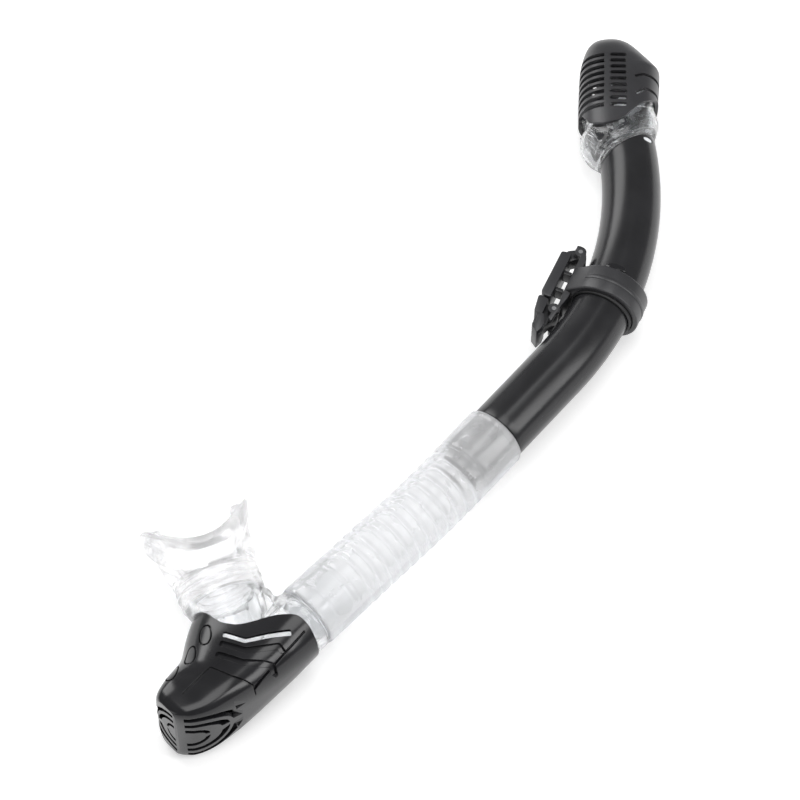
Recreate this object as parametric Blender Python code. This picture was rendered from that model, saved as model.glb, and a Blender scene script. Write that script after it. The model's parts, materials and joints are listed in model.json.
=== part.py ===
"""Dry-top snorkel, lying on its side: hose along +Y, barrel arching towards -X, +Z up.

Design units are millimetres. The design origin is the middle of the flexible hose, on
the symmetry plane. A last step moves everything so that the world origin is the centre
of the bounding box's base.
"""
import math

import bmesh
import bpy
from mathutils import Matrix, Vector

MM = 0.001

# Driving dimensions, mm
SEGMENTS = 24
GAP = 0.3                     # clearance between touching pieces

BORE_R = 10.6                 # air passage
BARREL_R = 13.0
BARREL_START_Y = 52.0         # lower end of the barrel
ARC_START_Y = 114.0
ARC_R = 150.0                 # bend of the barrel's centreline
ARC_END_DEG = 46.5
SPIGOT_R = 11.9               # barrel end inside the hose cuff

HOSE_TOP_Y = 72.0
HOSE_BOTTOM_Y = -44.0
CUFF_R = 14.3
RIB_CREST_R = 14.0
RIB_ROOT_R = 13.1
HOSE_BORE_R = 11.4
RIB_COUNT = 12
RIBS_TOP_Y = 46.0
RIBS_BOTTOM_Y = -22.0
HOSE_BEND_Y = (45.0, 15.0)    # the hose turns a little between these two places
HOSE_TURN_DEG = -3.55         # and leans this much below them
HOSE_HINGE_Y = 12.0           # middle of the stretch that flexes

CLIP_DEG = 16.1               # place of the keeper along the barrel's arc
BUSH_WALL = 0.9
BUSH_HALF = 7.4
COLLAR_R = 16.6
COLLAR_HALF = 6.4
PLATE_FACE = 17.6             # the strap lies on the base plate, this far from the axis
CLIP_HALF_Z = 6.5
GATE_PIN = (15.0, 18.6)       # along the barrel, out from its axis
TAB_PIN = (-16.8, 18.0)
PIN_R = 1.0
PIN_CLEARANCE = 0.08

HEAD_DEG = 47.0               # the head's axis, from the hose's axis
HEAD_LEAN = -0.4              # the barrel's top is higher on its convex side
CAP_WALL = 1.6
GROOVE_DEPTH = 0.8
LOUVRE_COUNT = 9
LOUVRE_PITCH = 3.74
LOUVRE_WIDTH = 2.2
LOUVRE_TURN_DEG = 37.5        # the louvres' columns lean back from the head's axis
FLOAT_PIVOT = (31.0, 3.2)     # along the head, towards the concave side
FLOAT_OPEN_DEG = 14.0         # how far the seal stands open when the float hangs

MOUTH_DEG = 151.0             # direction of the mouthpiece's axis in plan
MOUTH_FOOT = (-0.97, -78.75)  # a point of that axis, inside the chamber
MOUTH_DISH = 0.0275           # the flange curls forward by this times width squared

COVER_WALL = 1.6
PANEL_Z = 19.8                # flat raised panels on the cover's two sides
PURGE_TILT_DEG = -14.0        # the purge valve faces down and away from the mouthpiece
PURGE_X, PURGE_Y = -12.0, -86.0
PURGE_R = 14.0

COLOURS = {
    "black_gloss": ((0.012, 0.012, 0.013), 0.18, 0.0),
    "black_satin": ((0.03, 0.03, 0.032), 0.45, 0.0),
    "clear_shell": ((0.86, 0.88, 0.9), 0.08, 0.0),
    "clear_silicone": ((0.84, 0.87, 0.9), 0.22, 0.0),
    "seal_silicone": ((0.78, 0.8, 0.82), 0.4, 0.0),
    "steel": ((0.6, 0.6, 0.62), 0.25, 1.0),
    "float_foam": ((0.05, 0.05, 0.055), 0.8, 0.0),
}


# ---------------------------------------------------------------- scene and materials

def clear_scene():
    for obj in list(bpy.data.objects):
        bpy.data.objects.remove(obj, do_unlink=True)


def make_collection(name):
    collection = bpy.data.collections.new(name)
    bpy.context.scene.collection.children.link(collection)
    return collection


def make_material(node, finish):
    colour, roughness, metallic = COLOURS[finish]
    material = bpy.data.materials.new(node)
    material.use_nodes = True
    shader = material.node_tree.nodes["Principled BSDF"]
    shader.inputs["Base Color"].default_value = (*colour, 1.0)
    shader.inputs["Roughness"].default_value = roughness
    shader.inputs["Metallic"].default_value = metallic
    return material


# ---------------------------------------------------------------- local frames

class Place:
    """A flat frame: `along` an axis and `out` from it, both in the symmetry plane."""

    def __init__(self, x, y, degrees):
        angle = math.radians(degrees)
        self.origin = Vector((x, y, 0.0))
        self.along = Vector((-math.sin(angle), math.cos(angle), 0.0))
        self.out = Vector((-math.cos(angle), -math.sin(angle), 0.0))

    def at(self, along, out, z=0.0):
        return self.origin + self.along * along + self.out * out + Vector((0, 0, z))


def arc_place(degrees):
    """The barrel's centreline, by the angle turned since the start of its bend."""
    angle = math.radians(degrees)
    x = -ARC_R * (1.0 - math.cos(angle))
    return Place(x, ARC_START_Y + ARC_R * math.sin(angle), degrees)


def hose_place(y):
    """The hose's centreline, which leans a little towards the mouthpiece lower down."""
    top, bottom = HOSE_BEND_Y
    turned = min(1.0, max(0.0, (top - y) / (top - bottom)))
    lean = math.tan(math.radians(HOSE_TURN_DEG))
    x = lean * (0.5 * (top - bottom) * turned ** 2 + max(0.0, bottom - y))
    return Place(x, y, HOSE_TURN_DEG * turned)


STRAIGHT = Place(0.0, 0.0, 0.0)
CLIP = arc_place(CLIP_DEG)
ARC_END = arc_place(ARC_END_DEG)
HEAD = Place(ARC_END.origin.x, ARC_END.origin.y, HEAD_DEG)
VENT = Place(*HEAD.at(15.0, 2.7)[:2], LOUVRE_TURN_DEG)
MOUTH = Place(*MOUTH_FOOT, MOUTH_DEG - 90.0)
PURGE = Place(PURGE_X, PURGE_Y, PURGE_TILT_DEG)


# ---------------------------------------------------------------- mesh helpers

def finish_mesh(bm, name, collection):
    """Turn a bmesh in millimetres into an object in metres."""
    bmesh.ops.recalc_face_normals(bm, faces=bm.faces)
    bmesh.ops.scale(bm, vec=(MM, MM, MM), verts=bm.verts)
    mesh = bpy.data.meshes.new(name)
    bm.to_mesh(mesh)
    bm.free()
    obj = bpy.data.objects.new(name, mesh)
    collection.objects.link(obj)
    return obj


def ellipse(place, along, out, half_out, half_z, count=SEGMENTS, lean=0.0, power=2.0):
    """A ring round the place's axis; `lean` shifts it along with its distance out."""
    ring = []
    for i in range(count):
        turn = 2.0 * math.pi * i / count
        c, s = math.cos(turn), math.sin(turn)
        c = math.copysign(abs(c) ** (2.0 / power), c)
        s = math.copysign(abs(s) ** (2.0 / power), s)
        ring.append(place.at(along + lean * half_out * c, out + half_out * c, half_z * s))
    return ring


def loft(name, rings, collection, closed=False):
    """Skin a list of rings. `closed` joins the last to the first, for a tube's wall."""
    bm = bmesh.new()
    rows = [[bm.verts.new(point) for point in ring] for ring in rings]
    pairs = list(zip(rows, rows[1:]))
    if closed:
        pairs.append((rows[-1], rows[0]))
    else:
        bm.faces.new(rows[0])
        bm.faces.new(rows[-1])
    for low, high in pairs:
        for i in range(len(low)):
            j = (i + 1) % len(low)
            bm.faces.new((low[i], low[j], high[j], high[i]))
    # the sides are twisted, so they are split before anything is cut from them
    bmesh.ops.triangulate(bm, faces=[face for face in bm.faces if len(face.verts) == 4])
    return finish_mesh(bm, name, collection)


def prism(name, points, z_low, z_high, collection):
    """A flat outline in plan, given as (x, y) points, standing from z_low to z_high."""
    bm = bmesh.new()
    base = [bm.verts.new((x, y, z_low)) for x, y in points]
    face = bm.faces.new(base)
    lifted = bmesh.ops.extrude_face_region(bm, geom=[face])
    top = [item for item in lifted["geom"] if isinstance(item, bmesh.types.BMVert)]
    bmesh.ops.translate(bm, verts=top, vec=(0, 0, z_high - z_low))
    return finish_mesh(bm, name, collection)


def plan(place, points):
    """(along, out) points of a place as (x, y) points."""
    return [tuple(place.at(along, out))[:2] for along, out in points]


def box(name, place, along, out, z, collection):
    """A block between pairs of limits along, out from and across the place."""
    corners = [(along[0], out[0]), (along[1], out[0]), (along[1], out[1]), (along[0], out[1])]
    return prism(name, plan(place, corners), z[0], z[1], collection)


def rod(name, place, along, out, radius, half_z, collection, sides=16):
    """A round bar along Z."""
    corners = []
    for i in range(sides):
        turn = 2.0 * math.pi * i / sides
        corners.append((along + radius * math.cos(turn), out + radius * math.sin(turn)))
    return prism(name, plan(place, corners), -half_z, half_z, collection)


def boolean(obj, operation, tool):
    modifier = obj.modifiers.new(tool.name, "BOOLEAN")
    modifier.operation = operation
    modifier.solver = "EXACT"
    modifier.object = tool
    tool.hide_render = True
    tool.display_type = "WIRE"


def cut(obj, *tools):
    for tool in tools:
        boolean(obj, "DIFFERENCE", tool)


def join(obj, *tools):
    for tool in tools:
        boolean(obj, "UNION", tool)


# ---------------------------------------------------------------- barrel and hose

def build_barrel(parts, tools):
    """Curved tube with a spigot for the hose, an oblique top and a stop tab."""
    spigot_top = HOSE_TOP_Y + GAP
    profile = [(BARREL_START_Y, SPIGOT_R - 0.6), (BARREL_START_Y + 1.5, SPIGOT_R),
               (spigot_top, SPIGOT_R), (spigot_top + 0.4, BARREL_R)]
    bend = [arc_place(ARC_END_DEG * i / 10) for i in range(10)]
    rings = [ellipse(STRAIGHT, y, 0.0, radius, radius) for y, radius in profile]
    rings += [ellipse(place, 0.0, 0.0, BARREL_R, BARREL_R) for place in bend]
    rings += [ellipse(ARC_END, 0.0, 0.0, radius, radius, lean=HEAD_LEAN)
              for radius in (BARREL_R, BORE_R)]
    rings += [ellipse(place, 0.0, 0.0, BORE_R, BORE_R) for place in reversed(bend)]
    rings.append(ellipse(STRAIGHT, BARREL_START_Y, 0.0, BORE_R, BORE_R))
    barrel = loft("barrel", rings, parts, closed=True)
    tab_place = arc_place(CLIP_DEG + math.degrees((BUSH_HALF + 1.5) / ARC_R))
    for sign in (1, -1):
        tab = box("stop_tab_%d" % sign, tab_place, (-1.0, 1.0), (-3.4, 3.4),
                  sorted((sign * 12.2, sign * 14.0)), tools)
        join(barrel, tab)


def build_hose(parts):
    """Silicone hose: smooth cuff, shallow ribs, smooth lower end."""
    stations = [(HOSE_TOP_Y, CUFF_R), (RIBS_TOP_Y + 3.0, CUFF_R)]
    pitch = (RIBS_TOP_Y - RIBS_BOTTOM_Y) / RIB_COUNT
    for i in range(RIB_COUNT):
        y = RIBS_TOP_Y - pitch * i
        stations += [(y, RIB_ROOT_R), (y - 0.5 * pitch, RIB_CREST_R)]
    stations += [(RIBS_BOTTOM_Y, RIB_ROOT_R), (RIBS_BOTTOM_Y - 2.0, CUFF_R)]
    stations += [(HOSE_BOTTOM_Y, CUFF_R)]
    spigot_bore = SPIGOT_R + GAP
    stations += [(HOSE_BOTTOM_Y, spigot_bore), (HOSE_BOTTOM_Y + 20.0, spigot_bore)]
    stations += [(HOSE_BOTTOM_Y + 21.0, HOSE_BORE_R), (HOSE_BEND_Y[1], HOSE_BORE_R)]
    stations += [(0.5 * sum(HOSE_BEND_Y), HOSE_BORE_R), (HOSE_BEND_Y[0], HOSE_BORE_R)]
    stations += [(BARREL_START_Y - 1.6, HOSE_BORE_R), (BARREL_START_Y - 0.6, spigot_bore)]
    stations += [(HOSE_TOP_Y, spigot_bore)]
    rings = [ellipse(hose_place(y), 0.0, 0.0, radius, radius, 16) for y, radius in stations]
    loft("flex_hose", rings, parts, closed=True)


# ---------------------------------------------------------------- strap keeper

def build_bush(parts):
    """Ring that slides along the barrel's bend and carries the keeper."""
    half = math.degrees(BUSH_HALF / ARC_R)
    inner = BARREL_R + GAP
    places = [arc_place(CLIP_DEG + half * (0.5 * i - 1.0)) for i in range(5)]
    rings = [ellipse(place, 0.0, 0.0, inner + BUSH_WALL, inner + BUSH_WALL) for place in places]
    rings += [ellipse(place, 0.0, 0.0, inner, inner) for place in reversed(places)]
    loft("collar_bush", rings, parts, closed=True)


def collar_ring(along):
    """The collar's round section, drawn out flat to the two long edges of the base plate."""
    corner = math.hypot(PLATE_FACE, CLIP_HALF_Z)
    tangent = math.atan2(CLIP_HALF_Z, PLATE_FACE) + math.acos(COLLAR_R / corner)
    ring = []
    for i in range(SEGMENTS):
        turn = tangent + 2.0 * (math.pi - tangent) * i / (SEGMENTS - 1)
        ring.append(CLIP.at(along, COLLAR_R * math.cos(turn), COLLAR_R * math.sin(turn)))
    return ring + [CLIP.at(along, PLATE_FACE, z) for z in (-CLIP_HALF_Z, CLIP_HALF_Z)]


def build_collar(parts, tools):
    """Ring with the base plate, the back bar and the eyes of the gate and the tab."""
    bore = BARREL_R + GAP + BUSH_WALL + GAP
    collar = loft("clip_collar", [collar_ring(-COLLAR_HALF), collar_ring(COLLAR_HALF)], parts)
    plate = [(-23.5, 16.8), (-22.0, 18.6), (-13.4, 17.0), (-9.0, PLATE_FACE), (12.4, PLATE_FACE),
             (15.6, 21.0), (17.6, 21.0), (17.6, 17.4), (12.0, 14.6), (-9.0, 14.6), (-14.0, 15.8)]
    body = prism("collar_plate", plan(CLIP, plate), -CLIP_HALF_Z, CLIP_HALF_Z, tools)
    join(collar, body)
    hole = loft("collar_bore", [ellipse(CLIP, -30.0, 0.0, bore, bore),
                                ellipse(CLIP, 30.0, 0.0, bore, bore)], tools)
    gate_eye = box("gate_eye_slot", CLIP, (11.0, 24.0), (15.8, 30.0), (-3.8, 3.8), tools)
    tab_eye = box("tab_eye_slot", CLIP, (-26.0, -12.6), (15.2, 30.0), (-3.8, 3.8), tools)
    cut(collar, hole)
    ears = []
    for name, (along, out) in (("gate", GATE_PIN), ("tab", TAB_PIN)):
        ears.append(rod(name + "_ear", CLIP, along, out, 2.5, CLIP_HALF_Z - 0.1, tools))
    join(collar, *ears)
    cut(collar, gate_eye, tab_eye)
    for name, (along, out) in (("gate", GATE_PIN), ("tab", TAB_PIN)):
        cut(collar, rod(name + "_hole", CLIP, along, out, PIN_R + PIN_CLEARANCE, 12.0, tools))


def build_gate(parts, tools):
    """Outer bar that swings open on the gate pin; its nose latches under the tab."""
    outline = [(16.9, 17.2), (17.4, 19.0), (17.3, 20.6), (15.0, 24.6), (-10.6, 25.0), (-12.6, 23.8),
               (-12.6, 22.2), (-8.0, 22.0), (10.0, 22.0), (12.4, 19.4), (13.2, 17.4), (15.0, 16.6)]
    gate = prism("strap_gate", plan(CLIP, outline), -3.4, 3.4, parts)
    for sign in (1, -1):
        wing = box("gate_wing_%d" % sign, CLIP, (-12.0, 11.0), (22.2, 24.8),
                   sorted((sign * 3.0, sign * CLIP_HALF_Z)), tools)
        join(gate, wing)
    cut(gate, rod("gate_bore", CLIP, *GATE_PIN, PIN_R + PIN_CLEARANCE, 12.0, tools))


def build_tab(parts, tools):
    """Sprung finger tab with a wide serrated pad and the hook that holds the gate's nose."""
    outline = [(-15.0, 16.6), (-14.4, 18.6), (-14.0, 22.6), (-12.9, 24.4), (-12.9, 26.4),
               (-15.6, 25.8), (-17.8, 22.6), (-21.0, 21.6), (-28.6, 21.4), (-30.4, 19.4),
               (-27.4, 18.8), (-24.5, 19.0), (-20.2, 17.2), (-18.4, 15.9), (-16.6, 15.8)]
    tab = prism("release_tab", plan(CLIP, outline), -3.4, 3.4, parts)
    pad = [(-24.4, 19.1), (-24.4, 21.4), (-28.5, 21.3), (-30.2, 19.4), (-27.4, 18.9)]
    join(tab, prism("tab_pad", plan(CLIP, pad), -CLIP_HALF_Z, CLIP_HALF_Z, tools))
    for i in range(4):
        along = -28.4 + 1.7 * i
        groove = box("tab_groove_%d" % i, CLIP, (along, along + 0.8), (20.9, 24.0), (-9.0, 9.0), tools)
        cut(tab, groove)
    cut(tab, rod("tab_bore", CLIP, *TAB_PIN, PIN_R + PIN_CLEARANCE, 12.0, tools))


def build_pins(parts):
    for name, (along, out) in (("gate_pin", GATE_PIN), ("tab_pin", TAB_PIN)):
        rod(name, CLIP, along, out, PIN_R, CLIP_HALF_Z, parts)


# ---------------------------------------------------------------- dry-top head

def head_ring(along, low_out, high_out, half_z, inset=0.0, lean=0.0, count=SEGMENTS):
    """A rounded-square ring of the head between its convex and concave limits."""
    middle = 0.5 * (low_out + high_out)
    half = 0.5 * (high_out - low_out) - inset
    return ellipse(HEAD, along, middle, half, half_z - inset, count, lean, power=2.5)


CAP_STATIONS = ((6.0, -18.0, 21.6, 17.0), (22.0, -19.0, 19.8, 16.8), (36.0, -19.2, 17.2, 15.6),
                (48.0, -16.6, 14.4, 13.6), (56.0, -11.8, 10.8, 10.4), (60.8, -6.4, 7.0, 6.0),
                (62.2, -2.0, 3.4, 2.4))


# the cap's wavy lower edge: along the head, towards the concave side
CAP_EDGE = ((17.5, 60.0), (17.0, 22.0), (15.5, 20.0), (8.3, 16.3), (6.6, 10.2), (7.2, 5.0),
            (9.2, 0.8), (12.8, -3.1), (15.8, -6.9), (17.4, -9.8), (18.3, -14.0), (20.5, -17.0),
            (21.5, -19.0), (22.0, -60.0))
CAP_CHEVRONS = (((31.5, -7.5), (33.0, -11.8), (31.5, -22.0)), ((21.6, -6.3), (24.6, -11.0), (24.5, -22.0)))


def build_cap(parts, tools):
    """Vented black cap: domed shell, wavy lower edge, louvres on its sides and front."""
    cap = loft("head_cap", [head_ring(*station) for station in CAP_STATIONS], parts)
    hollow = [head_ring(*station, inset=CAP_WALL) for station in CAP_STATIONS[:-2]]
    hollow.insert(0, head_ring(-4.0, -17.6, 21.6, 17.0, inset=CAP_WALL))
    hollow.append(head_ring(59.4, -6.0, 6.4, 6.0, inset=CAP_WALL))
    edge = [(-20.0, 60.0), *CAP_EDGE, (-20.0, -60.0)]
    skirt = prism("cap_edge", plan(HEAD, edge), -30.0, 30.0, tools)
    cut(cap, loft("cap_hollow", hollow, tools), skirt)
    for i in range(LOUVRE_COUNT):
        low = LOUVRE_PITCH * i
        span = (low, low + LOUVRE_WIDTH)
        cut(cap, box("louvre_side_%d" % i, VENT, span, (-3.8, 3.8), (-30.0, 30.0), tools))
        for sign in (1, -1):
            limits = sorted((sign * 1.75, sign * 29.0))
            cut(cap, box("louvre_front_%d_%d" % (i, sign), VENT, span, (6.2, 30.0), limits, tools))
    core = loft("cap_core", [head_ring(*station, inset=GROOVE_DEPTH) for station in CAP_STATIONS], tools)
    for i, points in enumerate(CAP_CHEVRONS):
        outline = [(along - 0.9, out) for along, out in points]
        outline += [(along + 0.9, out) for along, out in reversed(points)]
        for sign in (1, -1):
            low, high = sorted((sign * 2.0, sign * 30.0))
            groove = prism("chevron_%d_%d" % (i, sign), plan(HEAD, outline), low, high, tools)
            cut(groove, core)
            cut(cap, groove)


# along, convex limit, concave limit, half height, lean
HOUSING_STATIONS = ((1.9, -13.6, 13.6, 13.6, -0.4), (6.0, -15.4, 18.2, 14.8, -0.3),
                    (10.2, -16.0, 20.0, 14.4, -0.14), (13.2, -15.8, 17.6, 14.2, -0.1),
                    (24.0, -15.9, 17.2, 14.2, 0.0))


def build_housing(parts, tools):
    """Clear valve housing: a throat that carries on the barrel's bore, a float well
    beside it, and two ears for the float's pin."""
    rings = [head_ring(*station[:4], lean=station[4]) for station in HOUSING_STATIONS]
    housing = loft("valve_housing", rings, parts)
    throat = [ellipse(HEAD, -20.0, 0.0, BORE_R - 0.6, BORE_R - 0.6),
              ellipse(HEAD, 2.0, -0.6, BORE_R - 0.6, BORE_R - 0.6),
              ellipse(HEAD, 15.0, -5.5, 8.0, 9.6), ellipse(HEAD, 40.0, -5.5, 8.0, 9.6)]
    well = [head_ring(8.4, 9.6, 15.0, 8.0), head_ring(13.8, 5.6, 16.6, 10.6),
            head_ring(40.0, 5.6, 15.9, 10.6)]
    cut(housing, loft("throat", throat, tools), loft("float_well", well, tools))
    for sign in (1, -1):
        ear = box("pivot_ear_%d" % sign, HEAD, (21.6, 33.6), (1.3, 5.1),
                  sorted((sign * 10.1, sign * 12.3)), tools)
        join(housing, ear)
    radius = PIN_R + PIN_CLEARANCE
    cut(housing, rod("pivot_hole", HEAD, *FLOAT_PIVOT, radius, 20.0, tools))


def build_gasket(parts):
    """Silicone ring between the barrel's oblique top and the housing."""
    outer_r, inner_r = BARREL_R - 0.3, BORE_R + 0.2
    corners = ((GAP, inner_r), (GAP, outer_r), (GAP + 1.2, outer_r), (GAP + 1.2, inner_r))
    loft("head_gasket", [ellipse(ARC_END, along, 0.0, radius, radius, lean=HEAD_LEAN)
                         for along, radius in corners], parts, closed=True)


def build_float(parts, tools):
    """Buoyant block, its rocker lever, the seal disc and the pivot pin."""
    tilt = math.radians(FLOAT_OPEN_DEG)
    block = [head_ring(14.6, 8.4, 12.0, 6.6, count=16), head_ring(17.6, 7.4, 13.0, 8.6, count=16),
             head_ring(26.0, 7.4, 14.8, 8.6, count=16)]
    loft("float", block, parts)
    pivot_along, pivot_out = FLOAT_PIVOT
    arm = [(26.3, 8.4), (26.3, 14.0), (27.9, 14.0), (28.6, 10.0), (32.4, 5.4), (33.2, 3.2)]
    seal_dir = Vector((math.sin(tilt), -math.cos(tilt)))
    normal = Vector((math.cos(tilt), math.sin(tilt)))
    pivot = Vector((pivot_along, pivot_out))
    for reach, lift in ((2.0, 1.6), (16.0, -2.4), (16.0, -4.7), (4.4, -4.7), (2.0, -2.6)):
        point = pivot + seal_dir * reach + normal * lift
        arm.append((point.x, point.y))
    arm.append((28.6, 5.0))
    lever = prism("float_lever", plan(HEAD, arm), -8.2, 8.2, parts)
    hole = rod("lever_bore", HEAD, pivot_along, pivot_out, PIN_R + PIN_CLEARANCE, 20.0, tools)
    cut(lever, hole)
    rod("float_pivot_pin", HEAD, pivot_along, pivot_out, PIN_R, 13.0, parts)
    low = pivot + seal_dir * 8.6 - normal * 6.6
    frame = Place(0.0, 0.0, HEAD_DEG)
    frame.along = HEAD.along * normal.x + HEAD.out * normal.y
    frame.out = -(HEAD.along * seal_dir.x + HEAD.out * seal_dir.y)
    frame.origin = HEAD.at(low.x, low.y)
    disc = [ellipse(frame, 0.0, 0.0, 7.4, 8.6), ellipse(frame, 1.2, 0.0, 9.0, 10.4),
            ellipse(frame, 1.6, 0.0, 9.0, 10.4)]
    loft("seal_disc", disc, parts)


# ---------------------------------------------------------------- purge chamber end

def build_chamber(parts, tools):
    """Clear Y-shaped body: hose spigot, mouthpiece port with a web between, purge opening."""
    main = [(HOSE_BOTTOM_Y + 19.0, 11.2), (HOSE_BOTTOM_Y + 17.5, SPIGOT_R),
            (HOSE_BOTTOM_Y - GAP, SPIGOT_R), (HOSE_BOTTOM_Y - GAP - 0.3, 13.8),
            (HOSE_BOTTOM_Y - 3.0, 13.8), (HOSE_BOTTOM_Y - 4.0, 12.2)]
    rings = [ellipse(hose_place(y), 0.0, 0.0, radius, radius) for y, radius in main]
    lower = ((28.0, 12.2), (12.0, PURGE_R - 0.6), (6.0, PURGE_R), (1.6, PURGE_R))
    rings += [ellipse(PURGE, along, 0.0, radius, radius) for along, radius in lower]
    chamber = loft("purge_chamber", rings, parts)
    port = [(4.0, 0.0, 11.0, 12.0), (30.0, -1.5, 14.9, 12.0), (39.0, 0.0, 17.2, 11.8),
            (39.6, 0.0, 14.2, 9.0), (50.0, 0.0, 13.8, 8.6)]
    join(chamber, loft("port", [ellipse(MOUTH, *section) for section in port], tools))
    web = [(-12.0, -47.4), (-18.4, -47.4), (-23.0, -46.4), (-26.0, -48.4), (-24.0, -58.0), (-12.0, -62.0)]
    join(chamber, prism("web", web, -6.0, 6.0, tools))
    bore = [ellipse(hose_place(y), 0.0, 0.0, 10.2, 10.2)
            for y in (HOSE_BOTTOM_Y + 30.0, HOSE_BOTTOM_Y - 2.0)]
    bore += [ellipse(PURGE, along, 0.0, radius, radius)
             for along, radius in ((26.0, 10.8), (12.0, 12.0), (-20.0, 12.4))]
    mouth = [(5.0, 0.0, 9.0, 10.6), (34.0, -0.8, 12.6, 9.2), (42.0, 0.0, 12.0, 7.2),
             (60.0, 0.0, 12.0, 7.2)]
    cut(chamber, loft("chamber_bore_tool", bore, tools),
        loft("port_bore", [ellipse(MOUTH, *section) for section in mouth], tools))


def dished(place, along, half_out, half_z, count=SEGMENTS):
    """An oval ring whose ends curl forward, like the flange that fits behind the lips."""
    ring = ellipse(place, along, 0.0, half_out, half_z, count, power=3.2)
    moved = []
    for point in ring:
        width = (point - place.origin).dot(place.out)
        moved.append(point + place.along * MOUTH_DISH * width * width)
    return moved


def build_mouthpiece(parts, tools):
    """Silicone mouthpiece: sleeve over the port, ringed neck, flange and bite lugs."""
    outer = [ellipse(MOUTH, 39.9, 0.0, 17.6, 12.2), ellipse(MOUTH, 50.0, 0.0, 17.6, 12.0),
             ellipse(MOUTH, 53.0, 0.0, 18.0, 12.2), ellipse(MOUTH, 55.0, 0.0, 19.2, 13.0),
             dished(MOUTH, 57.5, 21.4, 14.6), dished(MOUTH, 60.6, 23.6, 16.0),
             dished(MOUTH, 62.5, 23.6, 16.0)]
    inner = [dished(MOUTH, 62.5, 14.0, 7.4), ellipse(MOUTH, 56.0, 0.0, 13.4, 7.6),
             ellipse(MOUTH, 50.8, 0.0, 13.6, 8.6), ellipse(MOUTH, 50.4, 0.0, 14.5, 9.3),
             ellipse(MOUTH, 39.9, 0.0, 14.5, 9.3)]
    mouthpiece = loft("mouthpiece", outer + inner, parts, closed=True)
    for sign in (1, -1):
        lug = prism("bite_lug_%d" % sign, plan(MOUTH, [
            (65.4, sign * 14.6), (76.6, sign * 15.4), (76.6, sign * 20.6), (72.4, sign * 21.0)]),
            -6.0, 6.0, tools)
        join(mouthpiece, lug)


def build_purge_valve(parts, tools):
    """Spoked seat across the chamber's lower opening, and the flap on its stem."""
    seat = loft("purge_seat", [ellipse(PURGE, along, 0.0, PURGE_R, PURGE_R) for along in (1.3, -1.2)],
                parts)
    ends = (-6.0, 6.0)
    for i in range(4):
        start = 0.5 * math.pi * i
        wedge = []
        for radius, inset in ((3.4, 0.42), (11.4, 0.13)):
            turns = (start + inset, start + 0.25 * math.pi, start + 0.5 * math.pi - inset)
            arc = [(radius * math.cos(t), radius * math.sin(t)) for t in turns]
            wedge += arc if radius < 5.0 else arc[::-1]
        rings = [[PURGE.at(along, out, z) for out, z in wedge] for along in ends]
        cut(seat, loft("seat_window_%d" % i, rings, tools))
    cut(seat, loft("stem_hole", [ellipse(PURGE, along, 0.0, 1.6, 1.6, 12) for along in ends], tools))
    profile = [(-2.6, 3.0), (-2.4, 12.4), (-1.5, 12.4), (-1.5, 1.3), (4.4, 1.3)]
    loft("purge_flap", [ellipse(PURGE, along, 0.0, r, r) for along, r in profile], parts)


# lengthwise place, left limit, widest place, right limit, half height, squareness
COVER_STATIONS = ((-36.0, -46.0, -4.6, 9.8, 14.6, 2.1), (-56.0, -41.2, -5.4, 9.0, 14.8, 2.2),
                  (-66.0, -38.7, -6.6, 8.3, 15.3, 2.6), (-77.0, -34.75, -8.4, 7.25, 16.1, 3.0),
                  (-92.0, -29.6, -10.6, 4.85, 18.2, 4.0), (-104.0, -26.3, -11.6, 1.6, 19.2, 5.2),
                  (-113.0, -23.85, -12.4, -3.15, 19.6, 5.6), (-116.0, -22.4, -13.6, -6.4, 19.2, 5.4),
                  (-117.6, -20.0, -14.2, -9.0, 18.7, 5.0))
COVER_RIM = [(-70.0, -77.0), (-38.0, -75.8), (-30.6, -74.3), (-22.6, -71.4), (-15.0, -67.8),
             (-11.4, -63.0), (-7.0, -54.4), (-2.0, -49.4), (4.0, -48.8), (10.0, -52.0),
             (16.0, -55.0), (40.0, -56.0), (40.0, 0.0), (-70.0, 0.0)]


def cover_ring(y, low_x, middle_x, high_x, half_z, power, inset=0.0):
    """A section of the purge cover: round at the rim, nearly square at the tip."""
    ring = []
    for point in ellipse(STRAIGHT, y, 0.0, 1.0, half_z - inset, power=power):
        reach = (high_x if point.x > 0.0 else -low_x) + (-middle_x if point.x > 0.0 else middle_x)
        ring.append(Vector((middle_x + point.x * (reach - inset), y, point.z)))
    return ring


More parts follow.
